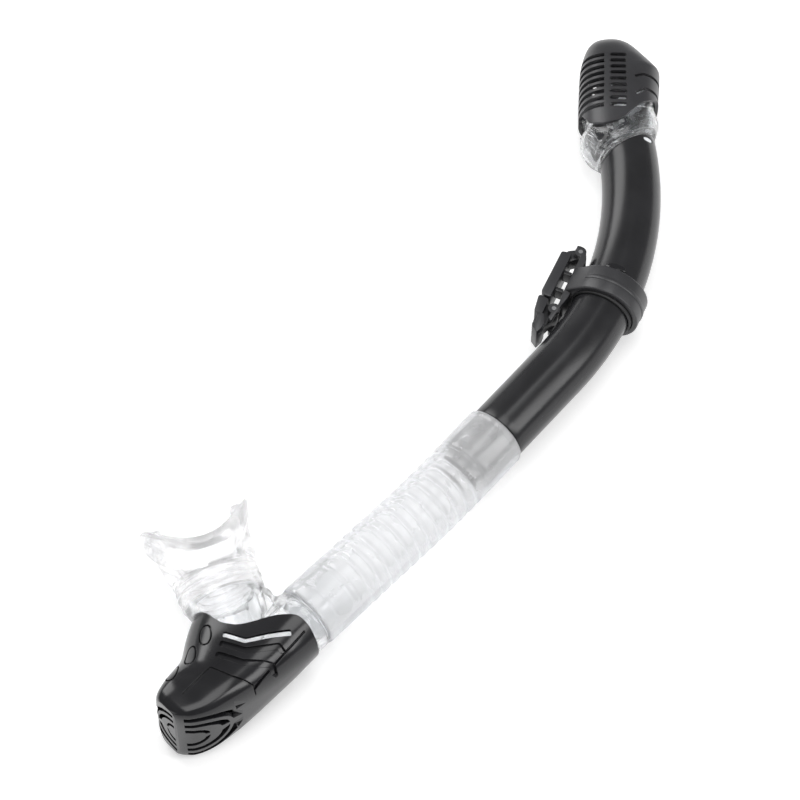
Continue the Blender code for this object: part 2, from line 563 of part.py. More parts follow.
def build_cover(parts, tools):
    """Black purge cover: a cup with chevron vents on both sides and a grille at the tip."""
    cover = loft("purge_cover", [cover_ring(*station) for station in COVER_STATIONS], parts)
    first, *others = COVER_STATIONS[:-1]
    inside = [cover_ring(first[0] + 6.0, *first[1:], inset=COVER_WALL)]
    inside += [cover_ring(*station, inset=COVER_WALL) for station in others]
    hollow = loft("cover_hollow", inside, tools)
    notch = [(4.0, 0.0, 11.4, 12.4), (30.0, -1.5, 15.3, 12.4), (39.0, 0.0, 17.6, 12.2),
             (48.0, 0.0, 17.6, 12.2)]
    cut(cover, hollow, prism("cover_rim", COVER_RIM, -40.0, 40.0, tools),
        loft("port_notch", [ellipse(MOUTH, *section) for section in notch], tools))
    for i, (x, y) in enumerate(((0.0, 0.0), (2.6, -4.2), (5.6, -10.2))):
        upper = [(-19.4 + 1.6 * i, -75.3), (-11.6, -71.2), (-2.0 - 1.2 * i, -57.6 - 1.4 * i)]
        shape = [(px + x, py + y) for px, py in upper]
        shape += [(px + x + 1.5, py + y - 2.0) for px, py in reversed(upper)]
        cut(cover, prism("chevron_vent_%d" % i, shape, -40.0, 40.0, tools))
    panel = [(-13.0, -92.0), (-3.0, -89.6), (0.5, -90.6), (-0.5, -98.0), (-7.5, -105.5), (-14.0, -105.5)]
    for sign in (1, -1):
        low, high = sorted((sign * 16.4, sign * PANEL_Z))
        join(cover, prism("side_panel_%d" % sign, panel, low, high, tools))
    for i in range(5):
        z = -12.0 + 6.0 * i
        right = prism("grille_right_%d" % i, [
            (-5.2, -125.0), (-5.2, -109.3), (0.3, -97.7), (16.0, -96.9)],
            z - 1.3, z + 1.3, tools)
        left = prism("grille_left_%d" % i, [
            (-13.0, -125.0), (-13.0, -112.0), (-23.0, -112.0), (-23.0, -125.0)],
            z - 1.3, z + 1.3, tools)
        cut(cover, right, left)


# ---------------------------------------------------------------- assembly

FINISHES = {
    "barrel": "black_gloss", "flex_hose": "clear_silicone", "collar_bush": "black_satin",
    "clip_collar": "black_satin", "strap_gate": "black_satin", "release_tab": "black_satin",
    "gate_pin": "steel", "tab_pin": "steel", "head_cap": "black_satin",
    "valve_housing": "clear_shell", "head_gasket": "seal_silicone", "float": "float_foam",
    "float_lever": "black_satin", "float_pivot_pin": "steel", "seal_disc": "seal_silicone",
    "purge_chamber": "clear_shell", "mouthpiece": "clear_silicone", "purge_seat": "black_satin",
    "purge_flap": "seal_silicone", "purge_cover": "black_gloss",
}


def put_origins_on_axes(parts):
    """Give every moving piece the origin that it turns or slides about."""
    pivots = {
        (0.0, HOSE_HINGE_Y, 0.0): ("purge_chamber", "mouthpiece", "purge_seat", "purge_cover"),
        tuple(PURGE.origin): ("purge_flap",),
        tuple(HEAD.at(*FLOAT_PIVOT)): ("float", "float_lever", "seal_disc"),
        (-ARC_R, ARC_START_Y, 0.0): ("collar_bush",),
        tuple(CLIP.origin): ("clip_collar", "gate_pin", "tab_pin"),
        tuple(CLIP.at(*GATE_PIN)): ("strap_gate",),
        tuple(CLIP.at(*TAB_PIN)): ("release_tab",),
    }
    for pivot, nodes in pivots.items():
        place = Vector(pivot) * MM
        for node in nodes:
            obj = parts.objects[node]
            obj.data.transform(Matrix.Translation(-place))
            obj.location = place


def stand_on_floor(parts):
    """Move every object so that the origin is the centre of the base of the whole box."""
    bpy.context.view_layer.update()
    graph = bpy.context.evaluated_depsgraph_get()
    corners = []
    for obj in parts.objects:
        evaluated = obj.evaluated_get(graph)
        corners += [evaluated.matrix_world @ Vector(corner) for corner in evaluated.bound_box]
    low = Vector([min(corner[i] for corner in corners) for i in range(3)])
    high = Vector([max(corner[i] for corner in corners) for i in range(3)])
    base = Vector(((low.x + high.x) / 2, (low.y + high.y) / 2, low.z))
    for obj in bpy.data.objects:
        obj.location -= base
    return base


def main():
    clear_scene()
    parts = make_collection("dry_top_snorkel")
    tools = make_collection("cutters")
    build_barrel(parts, tools)
    build_hose(parts)
    build_bush(parts)
    build_collar(parts, tools)
    build_gate(parts, tools)
    build_tab(parts, tools)
    build_pins(parts)
    build_cap(parts, tools)
    build_housing(parts, tools)
    build_gasket(parts)
    build_float(parts, tools)
    build_chamber(parts, tools)
    build_mouthpiece(parts, tools)
    build_purge_valve(parts, tools)
    build_cover(parts, tools)
    for obj in parts.objects:
        obj.data.materials.append(make_material(obj.name, FINISHES[obj.name]))
    put_origins_on_axes(parts)
    base = stand_on_floor(parts)
    print("origin of the design in the part's frame, metres:", tuple(-base))


main()
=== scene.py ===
"""Looks of a dry-top snorkel: fine surfaces, materials, floor, light and camera.

Lengths are in millimetres in the design's own axes, with the hose along +Y, the barrel
arching towards -X and +Z up. The design's origin is the middle of the flexible hose.
"""
import json
import math

import bmesh
import bpy
from mathutils import Matrix, Vector


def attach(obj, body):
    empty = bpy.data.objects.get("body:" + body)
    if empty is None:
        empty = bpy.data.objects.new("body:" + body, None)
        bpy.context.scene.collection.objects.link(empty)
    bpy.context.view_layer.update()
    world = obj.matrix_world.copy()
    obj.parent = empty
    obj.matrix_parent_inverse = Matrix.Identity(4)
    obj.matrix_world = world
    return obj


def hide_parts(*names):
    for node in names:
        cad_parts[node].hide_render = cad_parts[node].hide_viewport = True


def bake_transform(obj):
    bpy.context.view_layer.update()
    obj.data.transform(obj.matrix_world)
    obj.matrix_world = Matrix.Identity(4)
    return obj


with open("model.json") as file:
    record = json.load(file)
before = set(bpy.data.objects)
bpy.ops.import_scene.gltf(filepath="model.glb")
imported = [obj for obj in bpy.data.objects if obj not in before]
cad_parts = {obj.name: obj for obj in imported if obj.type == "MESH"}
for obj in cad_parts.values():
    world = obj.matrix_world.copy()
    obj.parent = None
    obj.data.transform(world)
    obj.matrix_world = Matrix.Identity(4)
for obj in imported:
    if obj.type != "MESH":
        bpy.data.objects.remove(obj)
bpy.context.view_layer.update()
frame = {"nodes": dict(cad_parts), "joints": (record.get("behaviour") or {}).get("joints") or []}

MM = 0.001
TURN = 2.0 * math.pi
HINGE_Y = 12.0                # the hose's bending axis, from the design's origin
JOINTS = {joint["name"]: joint for joint in frame["joints"]}
ORIGIN = Vector(JOINTS["hose_bend"]["pos_m"]) / MM - Vector((0.0, HINGE_Y, 0.0))

GAP = 0.3
BORE_R = 10.6
BARREL_R = 13.0
BARREL_START_Y = 52.0
ARC_START_Y = 114.0
ARC_R = 150.0
ARC_END_DEG = 46.5
TOP_LEAN = -0.4               # the barrel's top is higher on its convex side
SPIGOT_R = 11.9

HOSE_TOP_Y = 72.0
HOSE_BOTTOM_Y = -44.0
CUFF_R = 14.3
RIBS = (-22.0, 46.0, 12)      # lowest and highest place along the hose, and how many
PARTING_DEG = -26.0           # mould line of the hose, from +Z towards +X
HOSE_BEND_Y = (45.0, 15.0)    # the hose turns a little between these two places
HOSE_TURN_DEG = -3.55         # and leans this much below them

CLIP_DEG = 16.1
BUSH_R = 14.2
BUSH_HALF = 7.4
COLLAR_R = 16.6
COLLAR_HALF = 6.4
CLIP_HALF_Z = 6.5
PLATE_FACE = 17.6             # the strap lies on the base plate, this far from the axis
GATE_PIN = (15.0, 18.6)
TAB_PIN = (-16.8, 18.0)

HEAD_DEG = 47.0
MOUTH_DEG = 151.0
MOUTH_FOOT = (-0.97, -78.75)
MOUTH_DISH = 0.0275


# ---- places and curves

class Place:
    """A flat frame: `along` an axis and `out` from it, both in the symmetry plane."""

    def __init__(self, x, y, degrees):
        angle = math.radians(degrees)
        self.origin = Vector((x, y, 0.0))
        self.along = Vector((-math.sin(angle), math.cos(angle), 0.0))
        self.out = Vector((-math.cos(angle), -math.sin(angle), 0.0))

    def at(self, along, out, z=0.0):
        return self.origin + self.along * along + self.out * out + Vector((0, 0, z))


def arc_place(degrees):
    """The barrel's centreline, by the angle turned since the start of its bend."""
    angle = math.radians(degrees)
    x = -ARC_R * (1.0 - math.cos(angle))
    return Place(x, ARC_START_Y + ARC_R * math.sin(angle), degrees)


def hose_place(y):
    """The hose's centreline, which leans a little towards the mouthpiece lower down."""
    top, bottom = HOSE_BEND_Y
    turned = min(1.0, max(0.0, (top - y) / (top - bottom)))
    lean = math.tan(math.radians(HOSE_TURN_DEG))
    x = lean * (0.5 * (top - bottom) * turned ** 2 + max(0.0, bottom - y))
    return Place(x, y, HOSE_TURN_DEG * turned)


STRAIGHT = Place(0.0, 0.0, 0.0)
CLIP = arc_place(CLIP_DEG)
ARC_END = arc_place(ARC_END_DEG)
HEAD = Place(ARC_END.origin.x, ARC_END.origin.y, HEAD_DEG)
VENT = Place(*HEAD.at(15.0, 2.7)[:2], 37.5)   # the louvres' columns lean back
MOUTH = Place(*MOUTH_FOOT, MOUTH_DEG - 90.0)


def smooth(low, high, value):
    t = min(1.0, max(0.0, (value - low) / (high - low)))
    return t * t * (3.0 - 2.0 * t)


def spline(points, steps):
    """Catmull-Rom curve through points of any dimension."""
    last = len(points) - 1
    out = []
    for i in range(last):
        near = [points[min(max(k, 0), last)] for k in (i - 1, i, i + 1, i + 2)]
        for step in range(steps):
            t = step / steps
            weights = (-0.5 * t + t * t - 0.5 * t ** 3, 1.0 - 2.5 * t * t + 1.5 * t ** 3,
                       0.5 * t + 2.0 * t * t - 1.5 * t ** 3, -0.5 * t * t + 0.5 * t ** 3)
            out.append(tuple(sum(w * p[a] for w, p in zip(weights, near))
                             for a in range(len(points[0]))))
    out.append(tuple(points[-1]))
    return out


def fillet(points, radius, steps=5):
    """A closed outline with its corners rounded."""
    count = len(points)
    out = []
    for i, point in enumerate(points):
        corner = Vector(point)
        before = Vector(points[i - 1]) - corner
        after = Vector(points[(i + 1) % count]) - corner
        reach = min(radius, 0.45 * before.length, 0.45 * after.length)
        start = corner + before.normalized() * reach
        end = corner + after.normalized() * reach
        for step in range(steps + 1):
            t = step / steps
            spot = start * (1 - t) ** 2 + corner * (2 * t * (1 - t)) + end * t * t
            out.append((spot.x, spot.y))
    return out


def stadium(centre, half_length, half_width):
    """An outline with round ends, its long way along the second coordinate."""
    steps = 8
    out = []
    for half in (1, -1):
        for i in range(steps + 1):
            turn = math.pi * i / steps
            out.append((centre[0] + half * half_width * math.cos(turn),
                        centre[1] + half * (half_length - half_width + half_width * math.sin(turn))))
    return out


def circle(centre, radius):
    steps = 24
    return [(centre[0] + radius * math.cos(TURN * i / steps),
             centre[1] + radius * math.sin(TURN * i / steps)) for i in range(steps)]


def rectangle(first, second):
    return [(first[0], second[0]), (first[1], second[0]), (first[1], second[1]),
            (first[0], second[1])]


def squared(value, power):
    """A cosine or sine pushed outwards: power 2 draws an ellipse, more draws squarer corners."""
    return math.copysign(abs(value) ** (2.0 / power), value)


def ring(place, along, out, half_out, half_z, count=96, lean=0.0, power=2.0):
    """Points round the place's axis; `lean` shifts them along with their distance out."""
    points = []
    for i in range(count):
        c = squared(math.cos(TURN * i / count), power)
        s = squared(math.sin(TURN * i / count), power)
        points.append(place.at(along + lean * half_out * c, out + half_out * c, half_z * s))
    return points


# ---- meshes

def raw(name, bm):
    """A bmesh in design millimetres as an object that is still to be finished."""
    bmesh.ops.recalc_face_normals(bm, faces=bm.faces)
    mesh = bpy.data.meshes.new(name)
    bm.to_mesh(mesh)
    bm.free()
    obj = bpy.data.objects.new(name, mesh)
    bpy.context.scene.collection.objects.link(obj)
    return obj


def skin(name, rows, ends="caps", around=True):
    """Skin rows of points. `ends` is caps, open, or loop, which joins the last to the first."""
    bm = bmesh.new()
    grid = [[bm.verts.new(point) for point in row] for row in rows]
    pairs = list(zip(grid, grid[1:]))
    if ends == "loop":
        pairs.append((grid[-1], grid[0]))
    if ends == "caps":
        bm.faces.new(grid[0])
        bm.faces.new(grid[-1])
    count = len(rows[0])
    for low, high in pairs:
        for i in range(count if around else count - 1):
            j = (i + 1) % count
            bm.faces.new((low[i], low[j], high[j], high[i]))
    return raw(name, bm)


def sweep(name, outline, start, end):
    """A solid from an outline of 3-D points, carried from `start` to `end` offsets."""
    rows = [[Vector(point) + Vector(offset) for point in outline] for offset in (start, end)]
    return skin(name, rows)


def slab(name, outline, half_z, low_z=None):
    """A plan outline of (x, y) points as a flat solid."""
    low = -half_z if low_z is None else low_z
    return sweep(name, [(x, y, 0.0) for x, y in outline], (0, 0, low), (0, 0, half_z))


def side_slab(name, outline, side, near, far):
    """A plan outline as a solid between two heights above (side 1) or below (side -1)."""
    return slab(name, outline, max(side * near, side * far), min(side * near, side * far))


def plan(place, points):
    """Points given as (along, out) in a place's frame, as (x, y) in plan."""
    return [tuple(place.at(along, out))[:2] for along, out in points]


def settle(obj):
    """Apply an object's modifiers."""
    graph = bpy.context.evaluated_depsgraph_get()
    mesh = bpy.data.meshes.new_from_object(obj.evaluated_get(graph))
    obj.modifiers.clear()
    old, obj.data = obj.data, mesh
    bpy.data.meshes.remove(old)
    return obj


def discard(obj):
    mesh = obj.data
    bpy.data.objects.remove(obj)
    bpy.data.meshes.remove(mesh)


def modify(obj, kind, **values):
    modifier = obj.modifiers.new(kind.lower(), kind)
    for key, value in values.items():
        setattr(modifier, key, value)
    return settle(obj)


def merge(objects):
    """Several unfinished objects as one mesh, without uniting them."""
    bm = bmesh.new()
    for obj in objects:
        bm.from_mesh(obj.data)
    merged = raw(objects[0].name, bm)
    for obj in objects:
        discard(obj)
    return merged


def boolean(obj, tool, operation="DIFFERENCE"):
    """Cut or unite with a tool, which is used up."""
    modify(obj, "BOOLEAN", object=tool, operation=operation, solver="EXACT", use_self=False)
    discard(tool)
    return obj


def bevel(obj, width, segments=3, angle=32.0):
    return modify(obj, "BEVEL", width=width, segments=segments, limit_method="ANGLE",
                  angle_limit=math.radians(angle))


def soften(obj, voxel, rounds):
    """Melt overlapping solids into one smooth skin."""
    modify(obj, "REMESH", mode="VOXEL", voxel_size=voxel)
    return modify(obj, "SMOOTH", factor=0.5, iterations=rounds)


def finish(obj, body, material, replaced=(), sharp=35.0):
    """Move a piece to its place in the frame and give it its finish."""
    obj.data.transform(Matrix.Scale(MM, 4) @ Matrix.Translation(ORIGIN))
    obj.data.materials.clear()
    obj.data.materials.append(material)
    obj.data.shade_smooth()
    obj.data.set_sharp_from_angle(angle=math.radians(sharp))
    if body:
        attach(obj, body)
    if replaced:
        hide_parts(*replaced)
    return obj


# ---- materials

class Shader:
    """A material's node tree with a Principled shader, in object coordinates."""

    def __init__(self, name, colour, roughness, metallic=0.0):
        self.material = bpy.data.materials.new(name)
        self.material.use_nodes = True
        self.tree = self.material.node_tree
        self.bsdf = self.tree.nodes["Principled BSDF"]
        self.place = self.add("ShaderNodeTexCoord").outputs["Object"]
        self.put("Base Color", (*colour, 1.0))
        self.put("Roughness", roughness)
        self.put("Metallic", metallic)

    def add(self, kind, **values):
        node = self.tree.nodes.new(kind)
        for key, value in values.items():
            setattr(node, key, value)
        return node

    def link(self, source, target):
        self.tree.links.new(source, target)

    def put(self, socket, value):
        self.bsdf.inputs[socket].default_value = value

    def noise(self, size_mm, detail=3.0):
        """Noise with features of about this size."""
        node = self.add("ShaderNodeTexNoise")
        node.inputs["Scale"].default_value = 1.0 / (size_mm * MM)
        node.inputs["Detail"].default_value = detail
        self.link(self.place, node.inputs["Vector"])
        return node.outputs["Fac"]

    def ramp(self, source, stops):
        """Colours by position, for a value from 0 to 1."""
        node = self.add("ShaderNodeValToRGB")
        elements = node.color_ramp.elements
        while len(elements) < len(stops):
            elements.new(0.5)
        for element, (position, colour) in zip(elements, stops):
            element.position = position
            element.color = (*colour, 1.0) if len(colour) == 3 else colour
        self.link(source, node.inputs["Fac"])
        return node.outputs["Color"]

    def spread(self, source, low, high):
        """A value from 0 to 1 mapped to another range."""
        node = self.add("ShaderNodeMapRange")
        node.inputs["To Min"].default_value = low
        node.inputs["To Max"].default_value = high
        self.link(source, node.inputs["Value"])
        return node.outputs["Result"]

    def bump(self, source, height_mm, edge_mm=0.0):
        """Relief from a value, and a small round on sharp edges."""
        node = self.add("ShaderNodeBump")
        node.inputs["Distance"].default_value = height_mm * MM
        self.link(source, node.inputs["Height"])
        if edge_mm:
            edge = self.add("ShaderNodeBevel", samples=4)
            edge.inputs["Radius"].default_value = edge_mm * MM
            self.link(edge.outputs["Normal"], node.inputs["Normal"])
        self.link(node.outputs["Normal"], self.bsdf.inputs["Normal"])


def plastic(name, colour, roughness, vary, grain_mm, grain_height, edge_mm, ior=1.5):
    """Moulded plastic: roughness that varies a little, faint tone changes and a fine grain."""
    shader = Shader(name, colour, roughness)
    tone = shader.noise(18.0)
    lighter = tuple(c * 1.35 for c in colour)
    shader.link(shader.ramp(tone, ((0.35, colour), (0.7, lighter))),
                shader.bsdf.inputs["Base Color"])
    gloss = shader.noise(9.0, 5.0)
    shader.link(shader.spread(gloss, roughness - vary, roughness + vary),
                shader.bsdf.inputs["Roughness"])
    shader.bump(shader.noise(grain_mm, 2.0), grain_height, edge_mm)
    shader.put("IOR", ior)
    return shader.material


def clear(name, alpha, tint, edge_painted_shade, roughness, waves, clarity=1.0):
    """See-through plastic with painted grey shade where it is seen edge on, and faint flow lines."""
    shader = Shader(name, tint, roughness)
    weight = shader.add("ShaderNodeLayerWeight")
    weight.inputs["Blend"].default_value = 0.3
    # painted shade: the colour turns grey where the surface is seen edge on, standing in for the darker
    # refraction there
    colours = shader.ramp(weight.outputs["Facing"], ((0.25, tint), (0.95, edge_painted_shade)))
    shader.link(colours, shader.bsdf.inputs["Base Color"])
    shader.put("Transmission Weight", clarity)
    shader.put("IOR", 1.4)
    shader.link(shader.spread(shader.noise(7.0), alpha - 0.03, alpha + 0.03),
                shader.bsdf.inputs["Alpha"])
    shader.bump(shader.noise(5.0, 2.0), waves)
    return shader.material


# plastic: name, colour, roughness and its spread, then grain size, grain height and edge round in mm
# clear: name, opacity, tint face on, painted grey shade edge on, roughness, height of its waves in mm,
# clarity
MATERIALS = {
    "gloss": plastic("black_gloss_abs", (0.011, 0.011, 0.0125), 0.17, 0.035, 0.35, 0.002, 0.35,
                     ior=1.42),
    "barrel": plastic("black_barrel_abs", (0.015, 0.015, 0.0165), 0.23, 0.04, 0.35, 0.002, 0.35,
                      ior=1.4),
    "satin": plastic("black_satin_abs", (0.025, 0.025, 0.0275), 0.36, 0.05, 0.22, 0.006, 0.3),
    "rubber": plastic("black_rubber", (0.015, 0.015, 0.016), 0.55, 0.06, 0.3, 0.01, 0.2),
    "foam": plastic("float_foam", (0.03, 0.03, 0.034), 0.7, 0.08, 0.5, 0.05, 0.3),
    "hose": clear("clear_hose", 0.82, (0.97, 0.975, 0.985), (0.62, 0.66, 0.74), 0.1, 0.02, 0.68),
    "silicone": clear("clear_silicone", 0.76, (0.96, 0.96, 0.97), (0.66, 0.67, 0.69), 0.08, 0.06, 0.92),
    "shell": clear("clear_shell", 0.8, (0.94, 0.95, 0.96), (0.5, 0.51, 0.53), 0.02, 0.05),
    "seal": plastic("seal_silicone", (0.72, 0.74, 0.76), 0.4, 0.05, 0.4, 0.01, 0.2),
    "steel": Shader("steel", (0.6, 0.6, 0.62), 0.22, 1.0).material,
}


# ---- barrel

WINDOW_TURN = math.radians(43.0)   # from +Z or -Z towards the convex side
WINDOW_ALONG = 0.4
WINDOW_HALF = (2.9, 1.5)           # half its width and half its height
WINDOW_CUT = (10.9, 16.0)          # from and to these distances from the barrel's axis
WINDOW_LUG = (11.2, 12.7)
LUG_SCALE = (0.86, 0.82)           # of the window's width and height
SPIGOT_RINGS = 4
SPIGOT_PITCH = 3.0
RIM_ROWS = ((-0.7, 13.0), (-0.3, 12.9), (0.0, 12.5), (0.0, 11.1), (-0.3, 10.7))


def barrel_lean(degrees):
    """How much the barrel's sections lean: only near the top, towards its oblique rim."""
    return TOP_LEAN * smooth(ARC_END_DEG - 11.0, ARC_END_DEG, degrees)


def build_barrel():
    """Bent tube: ringed spigot, shoulder, oblique rounded rim and two small windows."""
    profile = [(BARREL_START_Y, 11.1), (BARREL_START_Y + 0.5, 11.6)]
    for i in range(SPIGOT_RINGS):
        low = BARREL_START_Y + 1.0 + SPIGOT_PITCH * i
        profile += [(low, SPIGOT_R), (low + 1.7, SPIGOT_R), (low + 1.9, 11.0), (low + 2.8, 11.0)]
    top = HOSE_TOP_Y + GAP
    profile += [(BARREL_START_Y + 13.1, SPIGOT_R), (top, SPIGOT_R), (top, 12.5), (top + 0.3, 12.9),
                (top + 0.8, BARREL_R)]
    profile += [(top + 0.8 + 40.0 * i / 12, BARREL_R) for i in range(1, 13)]
    outer = [ring(STRAIGHT, y, 0.0, radius, radius) for y, radius in profile]
    steps = 40
    bend = [ARC_END_DEG * i / steps for i in range(steps + 1)]
    outer += [ring(arc_place(d), 0.0, 0.0, BARREL_R, BARREL_R, lean=barrel_lean(d))
              for d in bend[:-1]]
    for lift, radius in RIM_ROWS:
        outer.append(ring(ARC_END, lift, 0.0, radius, radius, lean=TOP_LEAN))
    inner = [ring(arc_place(d), 0.0, 0.0, BORE_R, BORE_R, lean=barrel_lean(d))
             for d in reversed(bend[:-1])]
    inner += [ring(STRAIGHT, y, 0.0, BORE_R, BORE_R) for y in (100.0, 85.0, 70.0, BARREL_START_Y)]
    barrel = skin("barrel_tube", outer + inner, ends="loop")
    lugs = cut_windows(barrel)
    finish(barrel, "upper_tube", MATERIALS["barrel"], ["barrel"])
    finish(merge(lugs), "upper_tube", MATERIALS["seal"])


def cut_windows(barrel):
    """Cut the two windows under the rim, and return the housing's lugs that fill them."""
    lugs = []
    middle = HEAD.at(WINDOW_ALONG, 0.0)
    outline = lens_outline(WINDOW_HALF)
    wide, high = LUG_SCALE
    for side in (1, -1):
        outward = Vector((0.0, 0.0, side * math.cos(WINDOW_TURN))) - HEAD.out * math.sin(WINDOW_TURN)
        across = HEAD.along.cross(outward)
        cutter = [middle + across * u + HEAD.along * v for u, v in outline]
        boolean(barrel, sweep("window", cutter, outward * WINDOW_CUT[0], outward * WINDOW_CUT[1]))
        lug = [middle + across * (wide * u) + HEAD.along * (high * v) for u, v in outline]
        lugs.append(bevel(sweep("window_lug", lug, outward * WINDOW_LUG[0], outward * WINDOW_LUG[1]), 0.25))
    return lugs


def lens_outline(half, steps=10):
    """A pointed oval, its long way along the first coordinate."""
    top = [(-half[0] * math.cos(math.pi * i / steps),
            half[1] * math.sin(math.pi * i / steps) ** 0.8) for i in range(steps + 1)]
    return top + [(u, -v) for u, v in reversed(top[1:-1])]


def build_stop_tabs():
    """Lens-shaped bosses above the keeper, which stop it from sliding up the barrel."""
    place = arc_place(CLIP_DEG + math.degrees((BUSH_HALF + 1.6) / ARC_R))
    tabs = []
    for side in (1, -1):
        rows = []
        for scale, rise in ((1.0, -1.0), (1.0, 0.2), (0.94, 0.7), (0.82, 0.95), (0.5, 1.0)):
            row = []
            for u, v in lens_outline((4.8, 1.6), 24):
                turn = u * scale / BARREL_R
                reach = BARREL_R + rise
                row.append(place.at(v * scale, reach * math.sin(turn), side * reach * math.cos(turn)))
            rows.append(row)
        tabs.append(skin("stop_tab", rows))
    finish(merge(tabs), "upper_tube", MATERIALS["gloss"])


# ---- hose

HOSE_RINGS = (69.2, 51.0, 49.2, -25.5, -28.0, -37.6)   # places of the smooth ends' fine rings


def hose_radius(y, turn):
    """Outer radius of the ribbed stretch; the ribs step by half a pitch at the mould lines."""
    low, high, count = RIBS
    pitch = (high - low) / count
    parting = math.radians(PARTING_DEG)
    from_line = math.sin(turn - parting)
    shift = 0.5 * smooth(-0.12, 0.12, from_line)
    wave = 0.5 + 0.5 * math.cos(TURN * ((high - y) / pitch + shift))
    ribbed = smooth(low - 2.0, low + 3.0, y) * (1.0 - smooth(high - 1.0, high + 3.0, y))
    depth = 0.85 * wave ** 3
    line = math.exp(-(from_line / 0.035) ** 2)
    return CUFF_R - ribbed * (depth * (1.0 - 0.55 * line)) + 0.1 * line * ribbed


def build_hose():
    """Clear silicone hose: smooth cuff, shallow ribs, smooth ringed lower end."""
    count = 160
    rows = []
    for inset, radius in ((0.0, 12.5), (0.05, 13.4), (0.35, 14.0), (0.9, CUFF_R)):
        rows.append([(HOSE_TOP_Y - inset, radius)] * count)
    samples = 210
    start, end = HOSE_TOP_Y - 1.4, HOSE_BOTTOM_Y + 1.2
    for k in range(samples + 1):
        y = start + (end - start) * k / samples
        groove = sum(0.22 * math.exp(-((y - place) / 0.45) ** 2) for place in HOSE_RINGS)
        rows.append([(y, hose_radius(y, TURN * i / count) - groove) for i in range(count)])
    for inset, radius in ((0.5, 14.15), (0.1, 13.6), (0.0, 12.6)):
        rows.append([(HOSE_BOTTOM_Y + inset, radius)] * count)
    bore = [(HOSE_BOTTOM_Y, 12.2), (HOSE_BOTTOM_Y + 20.0, 12.2), (HOSE_BOTTOM_Y + 21.0, 11.6)]
    low, high, ribs = RIBS
    for i in range(ribs * 4 + 1):
        y = low + (high - low) * i / (ribs * 4)
        bore.append((y, 11.6 + 0.1 * math.cos(0.5 * math.pi * i)))
    bore += [(BARREL_START_Y - 1.6, 11.5), (BARREL_START_Y - 0.6, 12.2), (62.0, 12.2),
             (HOSE_TOP_Y, 12.2)]
    rows += [[(y, radius)] * count for y, radius in bore]
    points = []
    for row in rows:
        place = hose_place(row[0][0])
        points.append([place.at(0.0, -r * math.sin(TURN * i / count), r * math.cos(TURN * i / count))
                       for i, (_, r) in enumerate(row)])
    hose = skin("hose", points, ends="loop")
    finish(hose, None, MATERIALS["hose"], ["flex_hose"], sharp=60.0)
    start, end = [(ORIGIN + hose_place(y).origin) * MM for y in (RIBS[1], RIBS[0])]
    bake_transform(hose)


# ---- strap keeper

# outlines in the keeper's frame, as (along, out)
BASE_OUTLINE = [(-23.5, 16.8), (-22.0, 18.6), (-13.4, 17.0), (-9.0, PLATE_FACE), (12.4, PLATE_FACE),
                (15.6, 21.0), (17.6, 21.0), (17.6, 17.4), (12.0, 14.6), (-9.0, 14.6), (-14.0, 15.8)]
GATE_OUTLINE = [(16.9, 17.2), (17.4, 19.0), (17.3, 20.6), (15.0, 24.6), (-10.6, 25.0),
                (-12.6, 23.8), (-12.6, 22.2), (-8.0, 22.0), (10.0, 22.0), (12.4, 19.4),
                (13.2, 17.4), (15.0, 16.6)]
TAB_OUTLINE = [(-15.0, 16.6), (-14.4, 18.6), (-14.0, 22.6), (-12.9, 24.4), (-12.9, 26.4),
               (-15.6, 25.8), (-17.8, 22.6), (-21.0, 21.6), (-28.6, 21.4), (-30.4, 19.4),
               (-27.4, 18.8), (-24.5, 19.0), (-20.2, 17.2), (-18.4, 15.9), (-16.6, 15.8)]
PAD_OUTLINE = [(-21.0, 20.9), (-21.6, 24.0), (-28.5, 23.6), (-31.0, 20.2), (-27.4, 19.0),
               (-24.4, 19.2)]
LATCH_OUTLINE = [(-21.6, 21.8), (-21.2, 25.4), (-13.6, 26.6), (-12.7, 26.0), (-13.4, 21.8)]
WING_OUTLINE = [(-12.0, 21.8), (-12.0, 25.0), (-10.6, 26.4), (11.9, 26.2), (12.9, 21.8)]
ARM_HALF_Z = 3.4              # the gate's arm and the tab's, between the keeper's ears
PIN_HOLE_R = 1.08
EAR_R = 2.5
BAND_START = 0.9              # the raised band runs round the collar from here, in radians
BAND_TURN = 4.483
TEETH = (4, -28.6, 1.5)       # count, first tooth's place and pitch


def sleeve(name, half, inner, outer, round_mm):
    """A ring that follows the barrel's bend, with rounded rims."""
    steps = 10

    def row(shift, radius):
        place = arc_place(CLIP_DEG + math.degrees(shift / ARC_R))
        return ring(place, 0.0, 0.0, radius, radius)

    rows = []
    for i in range(steps + 1):
        rows.append(row((half - round_mm) * (2.0 * i / steps - 1.0), outer))
    for turn in (0.35, 0.7, 1.05, 0.5 * math.pi):
        rows.append(row(half - round_mm + round_mm * math.sin(turn),
                        outer - round_mm * (1.0 - math.cos(turn))))
    rows.append(row(half, inner))
    rows.append(row(-half, inner))
    for turn in (0.5 * math.pi, 1.05, 0.7, 0.35):
        rows.append(row(-half + round_mm - round_mm * math.sin(turn),
                        outer - round_mm * (1.0 - math.cos(turn))))
    return skin(name, rows, ends="loop")


def keeper_row(along, inset):
    """The collar's round section, drawn out flat to the two long edges of the base plate."""
    radius, face, half_z = COLLAR_R - inset, PLATE_FACE - inset, CLIP_HALF_Z - inset
    corner = math.hypot(face, half_z)
    tangent = math.atan2(half_z, face) + math.acos(radius / corner)
    row = []
    for i in range(120):
        turn = tangent + 2.0 * (math.pi - tangent) * i / 119
        row.append(CLIP.at(along, radius * math.cos(turn), radius * math.sin(turn)))
    for i in range(9):
        row.append(CLIP.at(along, face, half_z * (i / 4.0 - 1.0)))
    return row


def build_bush():
    """The ring that slides along the barrel inside the collar."""
    bush = sleeve("bush_ring", BUSH_HALF, BARREL_R + GAP, BUSH_R, 0.4)
    finish(bush, "bush", MATERIALS["rubber"], ["collar_bush"])


